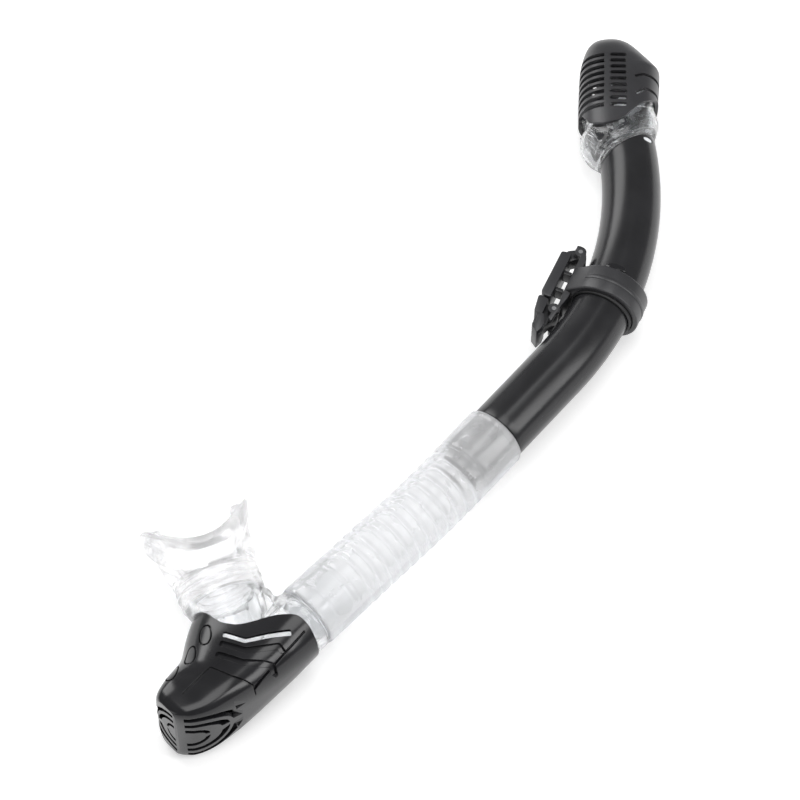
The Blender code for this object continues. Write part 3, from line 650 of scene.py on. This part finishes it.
def build_collar():
    """Collar drawn out to its base plate, with slotted hinge ears for the gate and the tab."""
    rims = ((0.7, 0.0), (0.42, 0.06), (0.2, 0.2), (0.06, 0.42), (0.0, 0.7))
    rows = [keeper_row(-COLLAR_HALF + shift, inset) for shift, inset in reversed(rims)]
    rows += [keeper_row(COLLAR_HALF - shift, inset) for shift, inset in rims]
    collar = skin("keeper_collar", rows)
    boolean(collar, bevel(slab("keeper_base", plan(CLIP, fillet(BASE_OUTLINE, 1.6)), CLIP_HALF_Z),
                          0.4, 2), "UNION")
    bore = skin("keeper_bore", [ring(CLIP, shift, 0.0, BUSH_R + GAP, BUSH_R + GAP)
                                for shift in (-30.0, 30.0)])
    boolean(collar, bore)
    for pin in (GATE_PIN, TAB_PIN):
        ear = slab("keeper_ear", plan(CLIP, circle(pin, EAR_R)), CLIP_HALF_Z - 0.1)
        boolean(collar, ear, "UNION")
    for limits in (((11.0, 24.0), (15.8, 30.0)), ((-26.0, -12.6), (15.2, 30.0))):
        boolean(collar, slab("keeper_slot", plan(CLIP, rectangle(*limits)), 3.8))
    for pin in (GATE_PIN, TAB_PIN):
        boolean(collar, slab("keeper_hole", plan(CLIP, circle(pin, PIN_HOLE_R)), 12.0))
    finish(collar, "keeper", MATERIALS["satin"], ["clip_collar"])


def build_band():
    """Raised band round the collar's middle; its inner rows are sunk in the collar."""
    rows = []
    for shift, inset in ((-1.2, 0.3), (-1.0, -0.15), (-0.7, -0.28), (0.7, -0.28), (1.0, -0.15),
                         (1.2, 0.3)):
        turns = [BAND_START + BAND_TURN * i / 90 for i in range(91)]
        rows.append([CLIP.at(shift, (COLLAR_R - inset) * math.cos(turn),
                             (COLLAR_R - inset) * math.sin(turn)) for turn in turns])
    rows.append([point.lerp(CLIP.origin, 0.05) for point in rows[-1]])
    rows.append([point.lerp(CLIP.origin, 0.05) for point in rows[0]])
    finish(skin("keeper_band", rows, ends="loop", around=False), "keeper", MATERIALS["satin"])


def build_gate():
    """Hinged outer bar: a narrow hinge arm, a wide bar with two webs and a recessed middle."""
    arm = slab("gate_bar", plan(CLIP, fillet(GATE_OUTLINE, 1.0)), ARM_HALF_Z)
    boolean(arm, slab("gate_wing", plan(CLIP, fillet(WING_OUTLINE, 0.8)), CLIP_HALF_Z), "UNION")
    for low in (-5.8, 3.6):
        boolean(arm, slab("gate_web", plan(CLIP, rectangle((low, low + 1.8), (18.6, 23.0))), 3.0),
                "UNION")
    window = slab("gate_recess", plan(CLIP, fillet(rectangle((-8.0, 8.0), (25.1, 30.0)), 0.4)), 3.2)
    boolean(arm, window)
    boolean(arm, slab("gate_hole", plan(CLIP, circle(GATE_PIN, PIN_HOLE_R)), 12.0))
    bevel(arm, 0.35, 2, 40.0)
    finish(arm, "gate", MATERIALS["satin"], ["strap_gate"])


def build_tab():
    """Finger tab: a serrated pad, and the latch's block and hook."""
    tab = slab("finger_tab", plan(CLIP, fillet(TAB_OUTLINE, 0.9)), ARM_HALF_Z)
    boolean(tab, slab("tab_pad", plan(CLIP, fillet(PAD_OUTLINE, 0.6)), CLIP_HALF_Z), "UNION")
    boolean(tab, slab("latch_block", plan(CLIP, fillet(LATCH_OUTLINE, 0.6)), CLIP_HALF_Z), "UNION")
    count, first, pitch = TEETH
    for i in range(count):
        low = first + pitch * i
        boolean(tab, slab("tab_tooth", plan(CLIP, rectangle((low, low + 0.7), (23.1, 26.0))), 9.0))
    boolean(tab, slab("tab_hole", plan(CLIP, circle(TAB_PIN, PIN_HOLE_R)), 12.0))
    bevel(tab, 0.3, 2, 40.0)
    finish(tab, "tab", MATERIALS["satin"], ["release_tab"])


# ---- dry-top head

# along, convex limit, concave limit, half height
CAP_STATIONS = ((-2.0, -16.6, 21.0, 16.6), (6.0, -17.0, 20.8, 17.0), (22.0, -17.6, 18.8, 16.8),
                (32.0, -19.6, 17.1, 16.0), (38.8, -20.9, 15.8, 15.1), (40.2, -20.9, 15.6, 14.9),
                (41.6, -20.3, 15.3, 14.7), (48.0, -16.4, 13.8, 13.5), (56.0, -11.4, 10.6, 10.4),
                (60.8, -6.4, 7.0, 6.0), (62.2, -2.0, 3.4, 2.4), (62.3, 0.5, 1.0, 0.2))
CAP_POWER = 2.5
CAP_EDGE = ((-60.0, 25.0), (-19.0, 24.5), (-17.0, 23.0), (-14.0, 20.0), (-9.8, 17.6), (-6.9, 15.8),
            (-3.1, 12.8), (0.8, 9.2), (5.0, 7.4), (10.2, 7.2), (15.5, 9.5), (18.2, 14.5),
            (19.5, 18.0), (60.0, 19.0))    # out, along: the wavy lower edge
CAP_WALL = 1.6
CAP_STEPS = 12                 # rows from one station to the next
LOUVRES = (9, 3.74, 2.2)       # count, pitch, width
LOUVRE_HALF = 3.8              # half the length of those on the flat sides
CORNER_SLOT = (1.8, 6.2)       # those round the corners start here in height and in distance out
CHEVRON_HALF, CHEVRON_DEPTH = 0.8, 0.8
LEVER_ROOM = ((25.5, 31.6), (5.0, 14.7), 8.5)   # along, out, half height: where the lever swings
CAP_CHEVRONS = (((31.5, -7.5), (33.0, -11.8), (31.5, -22.0)),
                ((21.6, -6.3), (24.6, -11.0), (24.5, -22.0)))


def cap_edge(out):
    """Place along the head of the cap's wavy lower edge, by distance out."""
    points = CAP_EDGE
    for (x0, y0), (x1, y1) in zip(points, points[1:]):
        if x0 <= out <= x1:
            return y0 + (y1 - y0) * (out - x0) / (x1 - x0)
    return points[-1][1]


def cap_point(station, turn, inset=0.0):
    """Point of the cap's surface at a station of (along, low, high, half height)."""
    along, low, high, half_z = station
    half_out, half_z = max(0.1, 0.5 * (high - low) - inset), max(0.1, half_z - inset)
    return (along, 0.5 * (low + high) + half_out * squared(math.cos(turn), CAP_POWER),
            half_z * squared(math.sin(turn), CAP_POWER))


def cap_core(inset):
    """The cap's form, `inset` inside its surface, as a solid for cutting."""
    count = 128
    rows = []
    for station in spline(CAP_STATIONS, 6):
        station = (min(station[0], CAP_STATIONS[-1][0] - inset), *station[1:])
        rows.append([HEAD.at(*cap_point(station, TURN * i / count, inset)) for i in range(count)])
    return skin("core", rows)


def cap_shell():
    """The cap's wall: from the crown down to the wavy edge outside, and back up inside."""
    stations = spline(CAP_STATIONS, CAP_STEPS)
    side = stations[CAP_STEPS + 2]      # where the cap's sides stand nearly straight
    crown = len(stations) - 1
    count = 192
    levels = 90
    outer = [[] for _ in range(levels + 1)]
    inner = [[] for _ in range(levels + 1)]
    for i in range(count):
        turn = TURN * i / count
        edge = cap_edge(cap_point(side, turn)[1])
        start = next(k for k, station in enumerate(stations) if station[0] >= edge)
        before = stations[start - 1]
        first = start - 1 + (edge - before[0]) / (stations[start][0] - before[0])
        for rows, last, inset in ((outer, crown, 0.0), (inner, crown - CAP_STEPS, CAP_WALL)):
            for level in range(levels + 1):
                at = first + (last - first) * level / levels
                k = min(int(at), crown - 1)
                station = [a + (b - a) * (at - k) for a, b in zip(stations[k], stations[k + 1])]
                station[0] = min(station[0], CAP_STATIONS[-1][0] - inset)
                rows[level].append(HEAD.at(*cap_point(station, turn, inset)))
    return skin("head_dome", outer[::-1] + inner)


def louvre_slots():
    """Two columns on each side: one through the flat side, one round the concave corner."""
    count, pitch, width = LOUVRES
    height, out_from = CORNER_SLOT
    slots = []
    for i in range(count):
        middle = pitch * i + 0.5 * width
        limits = rectangle((middle - 0.5 * width, middle + 0.5 * width), (height, 30.0))
        for side in (1, -1):
            column = [VENT.at(a, out, 0.0) for a, out in
                      stadium((middle, 0.0), LOUVRE_HALF, 0.5 * width)]
            slots.append(sweep("louvre", column, (0, 0, side * 8.0), (0, 0, side * 30.0)))
            corner = [VENT.at(a, 0.0, side * z) for a, z in fillet(limits, 0.9)]
            slots.append(sweep("louvre", corner, VENT.out * out_from, VENT.out * 40.0))
    return slots


def build_cap():
    """Vented dome: louvres on its sides and round its front corners, grooves behind them."""
    cap = cap_shell()
    boolean(cap, merge(louvre_slots()))
    grooves = []
    for points in CAP_CHEVRONS:
        outline = fillet(stroke(points, CHEVRON_HALF), 0.6, 3)
        for side in (1, -1):
            grooves.append(side_slab("chevron", plan(HEAD, outline), side, 2.0, 30.0))
    tools = merge(grooves)
    boolean(tools, cap_core(CHEVRON_DEPTH))
    boolean(cap, tools)
    along, out, half_z = LEVER_ROOM
    boolean(cap, slab("lever_room", plan(HEAD, rectangle(along, out)), half_z))
    finish(cap, "upper_tube", MATERIALS["satin"], ["head_cap"])


# along, convex limit, concave limit, half height, lean
BOWL_STATIONS = ((1.9, -13.4, 13.4, 13.4, -0.4), (2.3, -14.0, 14.0, 14.0, -0.4),
                 (3.4, -14.5, 15.2, 14.3, -0.38), (6.0, -15.4, 18.2, 14.8, -0.3),
                 (10.2, -16.0, 20.2, 14.5, -0.14), (13.2, -15.8, 18.0, 14.2, -0.1),
                 (16.0, -15.4, 16.8, 14.2, -0.04), (19.0, -15.4, 16.8, 14.2, 0.0))
BOWL_SHOULDER = 12.0
BOWL_TOP = BOWL_STATIONS[-1][0]
BOWL_WALL = 1.5
BOWL_OVERLAP = 7.0             # how far the bowl reaches up inside the cap's edge
BOWL_LIMIT = 3.5               # but no more than this above its top, clear of the seal disc
THROAT = ((3.0, -0.6, 10.0, 10.0), (8.0, -2.6, 9.2, 9.8), (15.0, -5.5, 8.0, 9.6),
          (18.0, -5.5, 8.0, 9.6))      # along, out, half width, half height of its bore
THROAT_WALL = 1.3
BOWL_RIB = ((5.0, 13.4), (11.0, 17.8), (13.2, 17.2), (13.2, 16.2), (11.0, 16.6), (6.0, 12.6))
BOWL_RIBS_Z = (-7.0, -3.5, 0.0, 3.5, 7.0)


def bowl_ring(station, inset=0.0):
    """One row of the bowl; above its shoulder the rows follow the cap's wavy edge."""
    along, low, high, half_z, lean = station
    rise = max(0.0, (along - BOWL_SHOULDER) / (BOWL_TOP - BOWL_SHOULDER))
    points = []
    for point in ring(HEAD, along, 0.5 * (low + high), 0.5 * (high - low) - inset, half_z - inset,
                      128, lean, CAP_POWER):
        out = (point - HEAD.at(0.0, 0.0, 0.0)).dot(HEAD.out)
        lift = min(BOWL_LIMIT, cap_edge(1.12 * out) + BOWL_OVERLAP - BOWL_TOP)
        points.append(point + HEAD.along * rise * lift)
    return points


def build_bowl():
    """Clear bowl under the cap, cut back on its concave side where the float swings."""
    rows = [bowl_ring(station) for station in spline(BOWL_STATIONS, 5)]
    inner = [bowl_ring(station, BOWL_WALL) for station in reversed(spline(BOWL_STATIONS[1:], 5))]
    bowl = skin("valve_bowl", rows + inner, ends="loop")
    boolean(bowl, skin("float_room", [ring(HEAD, along, 10.8, 5.3, 10.6, count=64, power=4.0)
                                      for along in (12.6, 40.0)]))
    finish(bowl, "upper_tube", MATERIALS["shell"], ["valve_housing"])


def build_throat():
    """The air way inside the bowl, from the barrel's rim up to the seal disc's seat."""
    sections = spline(THROAT, 6)
    rows = [ring(HEAD, along, out, a + THROAT_WALL, b + THROAT_WALL) for along, out, a, b in sections]
    rows += [ring(HEAD, along, out, a, b) for along, out, a, b in reversed(sections)]
    finish(skin("throat_tube", rows, ends="loop"), "upper_tube", MATERIALS["shell"])


def build_ears_and_ribs():
    """The two ears that hold the float's pin, and the bowl's inner ribs."""
    pieces = []
    for side in (1, -1):
        ear = [HEAD.at(a, out, 0.0) for a, out in fillet(rectangle((20.6, 33.6), (1.3, 5.1)), 1.2)]
        pieces.append(bevel(sweep("pivot_ear", ear, (0, 0, side * 10.1), (0, 0, side * 12.3)), 0.3))
    for z in BOWL_RIBS_Z:
        rib = [HEAD.at(a, out, 0.0) for a, out in fillet(BOWL_RIB, 0.5)]
        pieces.append(bevel(sweep("bowl_rib", rib, (0, 0, z - 0.4), (0, 0, z + 0.4)), 0.15, 1))
    finish(merge(pieces), "upper_tube", MATERIALS["shell"])


def build_gasket():
    """The silicone ring that seals the barrel's rim."""
    low, high, inner, outer = GAP, GAP + 1.2, BORE_R + 0.2, BARREL_R - 0.3
    profile = [(low, inner), (low, outer - 0.3), (low + 0.3, outer), (high - 0.3, outer),
               (high, outer - 0.3), (high, inner)]
    rows = [ring(ARC_END, along, 0.0, radius, radius, lean=TOP_LEAN) for along, radius in profile]
    gasket = skin("rim_seal", rows, ends="loop")
    finish(gasket, "upper_tube", MATERIALS["silicone"], ["head_gasket"])


# ---- purge chamber end

PURGE = Place(-12.0, -86.0, -14.0)     # the purge opening and its axis
# sections of the port and its bore: along, out, half width, half height
PORT = ((2.0, 0.0, 10.0, 11.4), (16.0, -0.6, 12.6, 12.2), (30.0, -1.4, 15.0, 12.0),
        (36.0, -0.4, 16.4, 12.0), (39.6, 0.0, 17.3, 12.0))
PORT_BORE = ((5.0, 0.0, 9.0, 10.6), (34.0, -0.8, 12.6, 9.2), (42.0, 0.0, 12.0, 7.2),
             (60.0, 0.0, 12.0, 7.2))
WEB = ((-6.0, -46.6), (-18.8, -47.0), (-23.5, -45.8), (-27.0, -48.0), (-30.0, -58.0),
       (-20.0, -74.0), (-8.0, -70.0))


def build_chamber():
    """Clear body between hose and purge opening, with the port, and a web in their corner."""
    top = HOSE_BOTTOM_Y - GAP - 0.2
    main = [(hose_place(y), 0.0, radius) for y, radius in
            ((top, 13.8), (-47.0, 14.1), (-49.2, 13.9), (-51.6, 12.9), (-56.0, 12.5))]
    main += [(PURGE, 26.0, 12.5), (PURGE, 12.0, 13.4), (PURGE, 6.0, 14.0), (PURGE, 1.6, 14.0)]
    body = skin("chamber", [ring(place, at, 0.0, r, r) for place, at, r in main])
    arm = skin("port", [ring(MOUTH, *section) for section in spline(PORT, 6)])
    solid = soften(merge([body, arm, slab("web", WEB, 6.0)]), 0.75, 7)
    bore = [(hose_place(-30.0), 0.0, 11.0), (hose_place(-46.0), 0.0, 11.0), (PURGE, 26.0, 10.8),
            (PURGE, 12.0, 12.0), (PURGE, -20.0, 12.4)]
    boolean(solid, skin("chamber_bore", [ring(place, at, 0.0, r, r, 48) for place, at, r in bore]))
    boolean(solid, skin("port_bore", [ring(MOUTH, *section, 48) for section in PORT_BORE]))
    finish(solid, "lower_unit", MATERIALS["shell"], ["purge_chamber"], sharp=50.0)


def build_hose_spigot():
    """The chamber's stub that the hose's lower end is pushed over."""
    low, top = HOSE_BOTTOM_Y - 1.0, HOSE_BOTTOM_Y + 19.0
    profile = [(low, SPIGOT_R), (top - 1.5, SPIGOT_R), (top - 0.4, 11.5), (top, 11.0), (low, 10.4)]
    rows = [ring(hose_place(y), 0.0, 0.0, radius, radius) for y, radius in profile]
    finish(skin("hose_spigot", rows, ends="loop"), "lower_unit", MATERIALS["shell"])


# sections of the mouthpiece: along, half width, half height, and squareness where there are four
NECK = ((39.9, 17.6, 12.2), (44.0, 17.6, 12.1), (50.0, 17.5, 12.0), (53.0, 18.0, 12.2),
        (55.0, 19.2, 13.0))
FLANGE = ((56.3, 20.4, 13.8, 2.4), (57.5, 21.6, 14.8, 2.8), (59.0, 22.8, 15.6, 3.2),
          (60.3, 23.4, 16.0, 3.5), (61.5, 23.6, 16.0, 3.6), (62.5, 23.3, 15.8, 3.6))
FLANGE_BACK = ((63.0, 22.4, 15.0, 3.6), (62.5, 21.2, 13.8, 3.4), (61.7, 19.0, 11.8, 3.0),
               (61.1, 16.2, 9.4, 2.6), (60.5, 14.4, 7.8, 2.2), (58.5, 13.6, 7.4, 2.0))
MOUTH_BORE = ((56.0, 13.4, 7.6), (50.8, 13.6, 8.6), (50.4, 14.5, 9.3), (39.9, 14.5, 9.3))
NECK_RINGS = (44.6, 48.0, 51.4)   # places along the neck of its three swellings
LUG = ((66.4, 14.4), (73.6, 14.8), (76.6, 15.2), (76.8, 20.4), (73.4, 20.8))
KNOB = ((-3.0, 1.7), (0.0, 1.7), (0.7, 1.5), (1.2, 1.0), (1.35, 0.3))   # lift, radius


def dish(row):
    """Curl a ring's wide ends forward, like the flange that fits behind the lips."""
    curled = []
    for point in row:
        width = (point - MOUTH.origin).dot(MOUTH.out)
        curled.append(point + MOUTH.along * MOUTH_DISH * width * width)
    return curled


def build_mouthpiece():
    """Silicone mouthpiece: sleeve, ringed neck and dished flange with a rim."""
    rows = []
    for at, half_out, half_z in spline(NECK, 16):
        swell = sum(0.55 * math.exp(-((at - place) / 0.8) ** 2) for place in NECK_RINGS)
        rows.append(ring(MOUTH, at, 0.0, half_out + swell, half_z + swell, 128))
    for sections in (FLANGE, FLANGE_BACK):
        rows += [dish(ring(MOUTH, at, 0.0, a, b, 128, power=p)) for at, a, b, p in spline(sections, 5)]
    rows += [ring(MOUTH, at, 0.0, a, b, 128) for at, a, b in MOUTH_BORE]
    body = skin("mouth_body", rows, ends="loop")
    finish(body, "lower_unit", MATERIALS["silicone"], ["mouthpiece"], sharp=60.0)


def build_bite_lugs():
    """The two lugs held between the teeth, each with a knob at both ends."""
    lugs = []
    for side in (1, -1):
        outline = [(along, side * out) for along, out in LUG]
        lugs.append(bevel(slab("bite_lug", plan(MOUTH, fillet(outline, 1.2)), 6.0), 1.0, 4))
        for end in (-1, 1):
            knob = [ring(MOUTH, 75.8 + lift, side * 17.8, r, r, 24) for lift, r in KNOB]
            knob = [[point + Vector((0, 0, end * 4.0)) for point in row] for row in knob]
            lugs.append(skin("bite_knob", knob))
    finish(merge(lugs), "lower_unit", MATERIALS["silicone"])


# ---- purge cover

# lengthwise place, left limit, widest place, right limit, half height, squareness
COVER_STATIONS = ((-36.0, -50.0, -4.6, 9.8, 14.6, 2.1), (-56.0, -44.4, -5.4, 9.1, 14.8, 2.2),
                  (-66.0, -41.5, -6.6, 8.4, 15.3, 2.6), (-77.0, -37.9, -8.4, 7.25, 16.1, 3.0),
                  (-85.0, -34.0, -9.6, 6.2, 17.2, 3.4), (-92.0, -29.8, -10.6, 4.85, 18.2, 4.0),
                  (-98.0, -27.8, -11.2, 3.4, 18.8, 4.6), (-104.0, -26.3, -11.6, 1.6, 19.2, 5.2),
                  (-109.0, -25.0, -12.0, -0.7, 19.6, 5.6), (-113.0, -23.8, -12.4, -3.2, 19.6, 5.6),
                  (-115.2, -22.8, -13.2, -5.4, 19.3, 5.4), (-116.6, -21.6, -13.8, -7.2, 19.0, 5.2),
                  (-117.4, -20.2, -14.2, -8.6, 18.6, 5.0))
COVER_TILT = 0.1               # the tip's end face leans this much towards the mouthpiece
COVER_WALL = 1.7
COVER_SPINE_X = -8.2           # the tip's ridge
COVER_RIM = [(-40.0, -72.6), (-36.5, -72.4), (-33.0, -72.2), (-29.0, -72.7), (-24.8, -72.8),
             (-21.0, -71.4), (-18.0, -69.4), (-14.6, -65.0), (-11.4, -59.7), (-8.6, -56.0),
             (-6.2, -53.6), (-3.6, -51.7), (-1.1, -50.9), (3.0, -51.0), (7.4, -52.0), (14.0, -53.4)]
# the first chevron is an open vent, the others are grooves
CHEVRONS = (((-20.0, -76.8), (-11.0, -73.7), (-5.6, -66.0), (0.3, -58.5)),
            ((-17.9, -80.9), (-7.7, -77.0), (-1.4, -69.2), (0.6, -66.3), (3.4, -67.0)),
            ((-15.4, -85.9), (-4.9, -81.8), (1.4, -76.2), (4.0, -73.9), (6.6, -75.6)))
PANEL_LINE = ((-12.5, -108.5), (-12.7, -92.2), (-4.4, -89.8), (0.4, -87.6), (4.1, -85.7),
              (6.2, -86.6), (5.6, -90.5), (3.4, -96.0))
SEAM_LINE = ((3.4, -54.0), (4.0, -70.0), (4.6, -86.0))
THUMB_OVALS = ((-25.4, -81.1), (-23.5, -91.9), (-22.0, -102.8))
VENT_HALF, GROOVE_HALF, LINE_HALF = 1.3, 1.4, 0.4
GROOVE_DEPTH, LINE_DEPTH, OVAL_DEPTH = 1.1, 0.75, 1.1
OVAL_HALF, OVAL_PAD_HALF = (5.7, 2.9), (4.9, 2.2)   # each oval's groove lies between these two
OVAL_FACE = (-0.52, -0.08, 0.85)    # the way out of the flank that the ovals lie on
OVAL_WIDE = (-0.63, 0.75, -0.34)    # roughly across an oval's long way, in that flank
OVAL_Z = 12.6


def cover_row(station, inset):
    """One row of the cover: squarer on its right, with a rounder slanted flank on its left."""
    count = 160
    y, low, middle, high, half_z, power = station
    flank_power = 2.0 + 2.4 * smooth(-92.0, -116.0, y)
    lean = COVER_TILT * smooth(-92.0, -112.0, y)
    row = []
    for i in range(count):
        c, s = math.cos(TURN * i / count), math.sin(TURN * i / count)
        reach, square = (high - middle, power) if c > 0.0 else (middle - low, flank_power)
        x = middle + (reach - inset) * squared(c, square)
        row.append(Vector((x, y - lean * (x - COVER_SPINE_X), (half_z - inset) * squared(s, square))))
    return row


def cover_solid(name, inset):
    """The cover's outer form as a solid, `inset` inside its surface."""
    rows = []
    first, *others = COVER_STATIONS
    for station in spline([(first[0] + 4.0 * inset, *first[1:]), *others], 6):
        station = (max(station[0], COVER_STATIONS[-1][0] + inset), *station[1:])
        rows.append(cover_row(station, inset))
    return skin(name, rows)


def engrave(obj, shapes, floor):
    """Cut shapes down to a floor that runs a fixed depth below the surface."""
    tools = shapes[0]
    for shape in shapes[1:]:
        boolean(tools, shape, "UNION")
    boolean(tools, floor)
    return boolean(obj, tools)


def stroke(points, half_width):
    """The outline of a line of even width through points in plan."""
    left, right = [], []
    for i, point in enumerate(points):
        before = Vector(points[max(i - 1, 0)])
        after = Vector(points[min(i + 1, len(points) - 1)])
        side = (after - before).normalized().orthogonal() * half_width
        left.append(tuple(Vector(point) + side))
        right.append(tuple(Vector(point) - side))
    return left + right[::-1]


# direction away from the spine, way out of the face, share of the full length
GRILLE_FACES = ((Vector((0.61, 0.792, 0.0)), Vector((0.792, -0.61, 0.0)), 1.0),
                (Vector((-0.993, 0.117, 0.0)), Vector((-0.117, -0.993, 0.0)), 0.56))
GRILLE_ARCS = ((15.4, 26.5), (10.8, 20.5), (6.2, 12.0))  # height at the spine, length
GRILLE_START = 2.2             # half the width of the spine left between the two faces
GRILLE_RISE = 0.9              # half the width of the rib left in the symmetry plane
GRILLE_WIDTH = 2.3             # of a slot at the spine
GRILLE_INNER = 0.82            # a slot's inner arc is this much shorter than its outer one
GRILLE_SPINE = Vector((COVER_SPINE_X, -116.6, 0.0))


def grille_slots(direction, normal, scale):
    """Nested arcs on one of the tip's faces, mirrored about the symmetry plane."""
    slots = []
    steps = 14
    quarter = [0.5 * math.pi * i / steps for i in range(steps + 1)]
    for height, length in GRILLE_ARCS:
        reach = length * scale - GRILLE_START
        outline = [(GRILLE_START + reach * math.sin(t), height * math.cos(t) + GRILLE_RISE)
                   for t in quarter]
        outline += [(GRILLE_START + GRILLE_INNER * reach * math.sin(t),
                     (height - GRILLE_WIDTH) * math.cos(t) + GRILLE_RISE) for t in quarter[-2::-1]]
        for side in (1, -1):
            points = [GRILLE_SPINE + direction * s + Vector((0, 0, side * z)) for s, z in outline]
            slots.append(sweep("grille", points, normal * -4.0, normal * 8.0))
    return slots


def cut_chevrons(cover):
    """One open vent and two grooves on each side."""
    grooves = []
    for side in (1, -1):
        for number, points in enumerate(CHEVRONS):
            outline = fillet(stroke(points, GROOVE_HALF if number else VENT_HALF), 0.8, 3)
            shape = side_slab("chevron", outline, side, 8.0, 40.0)
            if number:
                grooves.append(shape)
            else:
                boolean(cover, shape)
    engrave(cover, grooves, cover_solid("floor", GROOVE_DEPTH))


def cut_lines(cover):
    """Fine lines: the outline of the raised panel and the seam."""
    lines = []
    for side in (1, -1):
        for points in (PANEL_LINE, SEAM_LINE):
            lines.append(side_slab("line", stroke(points, LINE_HALF), side, 8.0, 40.0))
    engrave(cover, lines, cover_solid("line_floor", LINE_DEPTH))


def cut_ovals(cover):
    """A groove round each thumb oval on the left flank."""
    grooves = []
    for side in (1, -1):
        mirror = Vector((1.0, 1.0, side))
        normal = (Vector(OVAL_FACE) * mirror).normalized()
        across = normal.cross(Vector(OVAL_WIDE) * mirror).normalized()
        up = across.cross(normal)
        for x, y in THUMB_OVALS:
            centre = Vector((x, y, side * OVAL_Z))
            oval, pad = (sweep("oval", [centre + across * v + up * u for u, v in lens_outline(half)],
                               normal * -5.0, normal * 12.0) for half in (OVAL_HALF, OVAL_PAD_HALF))
            grooves.append(boolean(oval, pad))
    engrave(cover, grooves, cover_solid("oval_floor", OVAL_DEPTH))


def build_cover():
    """Purge cover: chevron vents, side panels, thumb ovals and the grille at the tip."""
    cover = cover_solid("cover_cup", 0.0)
    boolean(cover, cover_solid("hollow", COVER_WALL))
    rim = spline(COVER_RIM, 4)
    away = [(-70.0, -78.0), *rim, (40.0, -54.0), (40.0, 0.0), (-70.0, 0.0)]
    boolean(cover, slab("rim", away, 40.0))
    for face in GRILLE_FACES:
        boolean(cover, merge(grille_slots(*face)))
    cut_chevrons(cover)
    cut_lines(cover)
    cut_ovals(cover)
    finish(cover, "lower_unit", MATERIALS["gloss"], ["purge_cover"], sharp=30.0)


# ---- kept CAD pieces

def finish_cad():
    """Detailed finishes for the inner and small pieces whose shape is already right."""
    finishes = {"gate_pin": "steel", "tab_pin": "steel", "float_pivot_pin": "steel",
                "float": "foam", "float_lever": "satin", "seal_disc": "seal",
                "purge_seat": "satin", "purge_flap": "seal"}
    for node, material in finishes.items():
        for slot in frame["nodes"][node].material_slots:
            slot.material = MATERIALS[material]


# ---- floor, light, camera

def build_stage():
    """White floor and world, and the soft lights, all aimed at the middle of the floor."""
    bpy.ops.mesh.primitive_plane_add(size=6.0, location=(0.0, 0.0, -0.0002))
    floor = bpy.context.object
    floor.name = "floor"
    shader = Shader("pale_floor", (0.9, 0.9, 0.9), 0.9)
    shader.put("Specular IOR Level", 0.0)
    shader.put("Emission Color", (1.0, 1.0, 1.0, 1.0))
    shader.put("Emission Strength", 0.4)
    floor.data.materials.append(shader.material)
    world = bpy.data.worlds.new("studio")
    bpy.context.scene.world = world
    world.use_nodes = True
    background = world.node_tree.nodes["Background"]
    background.inputs["Color"].default_value = (1.0, 1.0, 1.0, 1.0)
    background.inputs["Strength"].default_value = 0.3
    for name, spot, size, power in LIGHTS:
        data = bpy.data.lights.new(name, "AREA")
        data.shape = "RECTANGLE"
        data.size, data.size_y = size
        data.energy = power
        lamp = bpy.data.objects.new(name, data)
        lamp.location = spot
        lamp.rotation_mode = "QUATERNION"
        lamp.rotation_quaternion = (-Vector(spot)).to_track_quat("-Z", "Y")
        bpy.context.scene.collection.objects.link(lamp)


# name, place in metres, size in metres, power in watts
LIGHTS = (("softbox_left", (-1.1, 0.2, 0.9), (0.5, 1.2), 9.0),
          ("softbox_right", (1.0, 0.5, 0.8), (0.35, 1.0), 6.0),
          ("softbox_top", (0.1, 0.2, 1.5), (0.9, 0.9), 9.0),
          ("softbox_front", (-0.2, -1.3, 0.7), (1.0, 0.4), 4.0))

CAMERA_AT = Vector((399.2, -466.2, 1120.1))
CAMERA_AIM = Vector((-42.0, 59.6, 0.0))
CAMERA_LENS = 139.5


def build_camera():
    """A long lens from above, looking down at the snorkel as it lies on its side."""
    data = bpy.data.cameras.new("camera")
    data.lens = CAMERA_LENS
    data.sensor_width = 36.0
    camera = bpy.data.objects.new("camera", data)
    bpy.context.scene.collection.objects.link(camera)
    camera.location = (ORIGIN + CAMERA_AT) * MM
    camera.rotation_mode = "QUATERNION"
    camera.rotation_quaternion = (CAMERA_AIM - CAMERA_AT).to_track_quat("-Z", "Y")
    bpy.context.scene.camera = camera
    bpy.context.scene.view_settings.view_transform = "Standard"


build_camera()
build_stage()
build_barrel()
build_stop_tabs()
build_hose()
build_bush()
build_collar()
build_band()
build_gate()
build_tab()
build_cap()
build_bowl()
build_throat()
build_ears_and_ribs()
build_gasket()
build_chamber()
build_hose_spigot()
build_mouthpiece()
build_bite_lugs()
build_cover()
finish_cad()
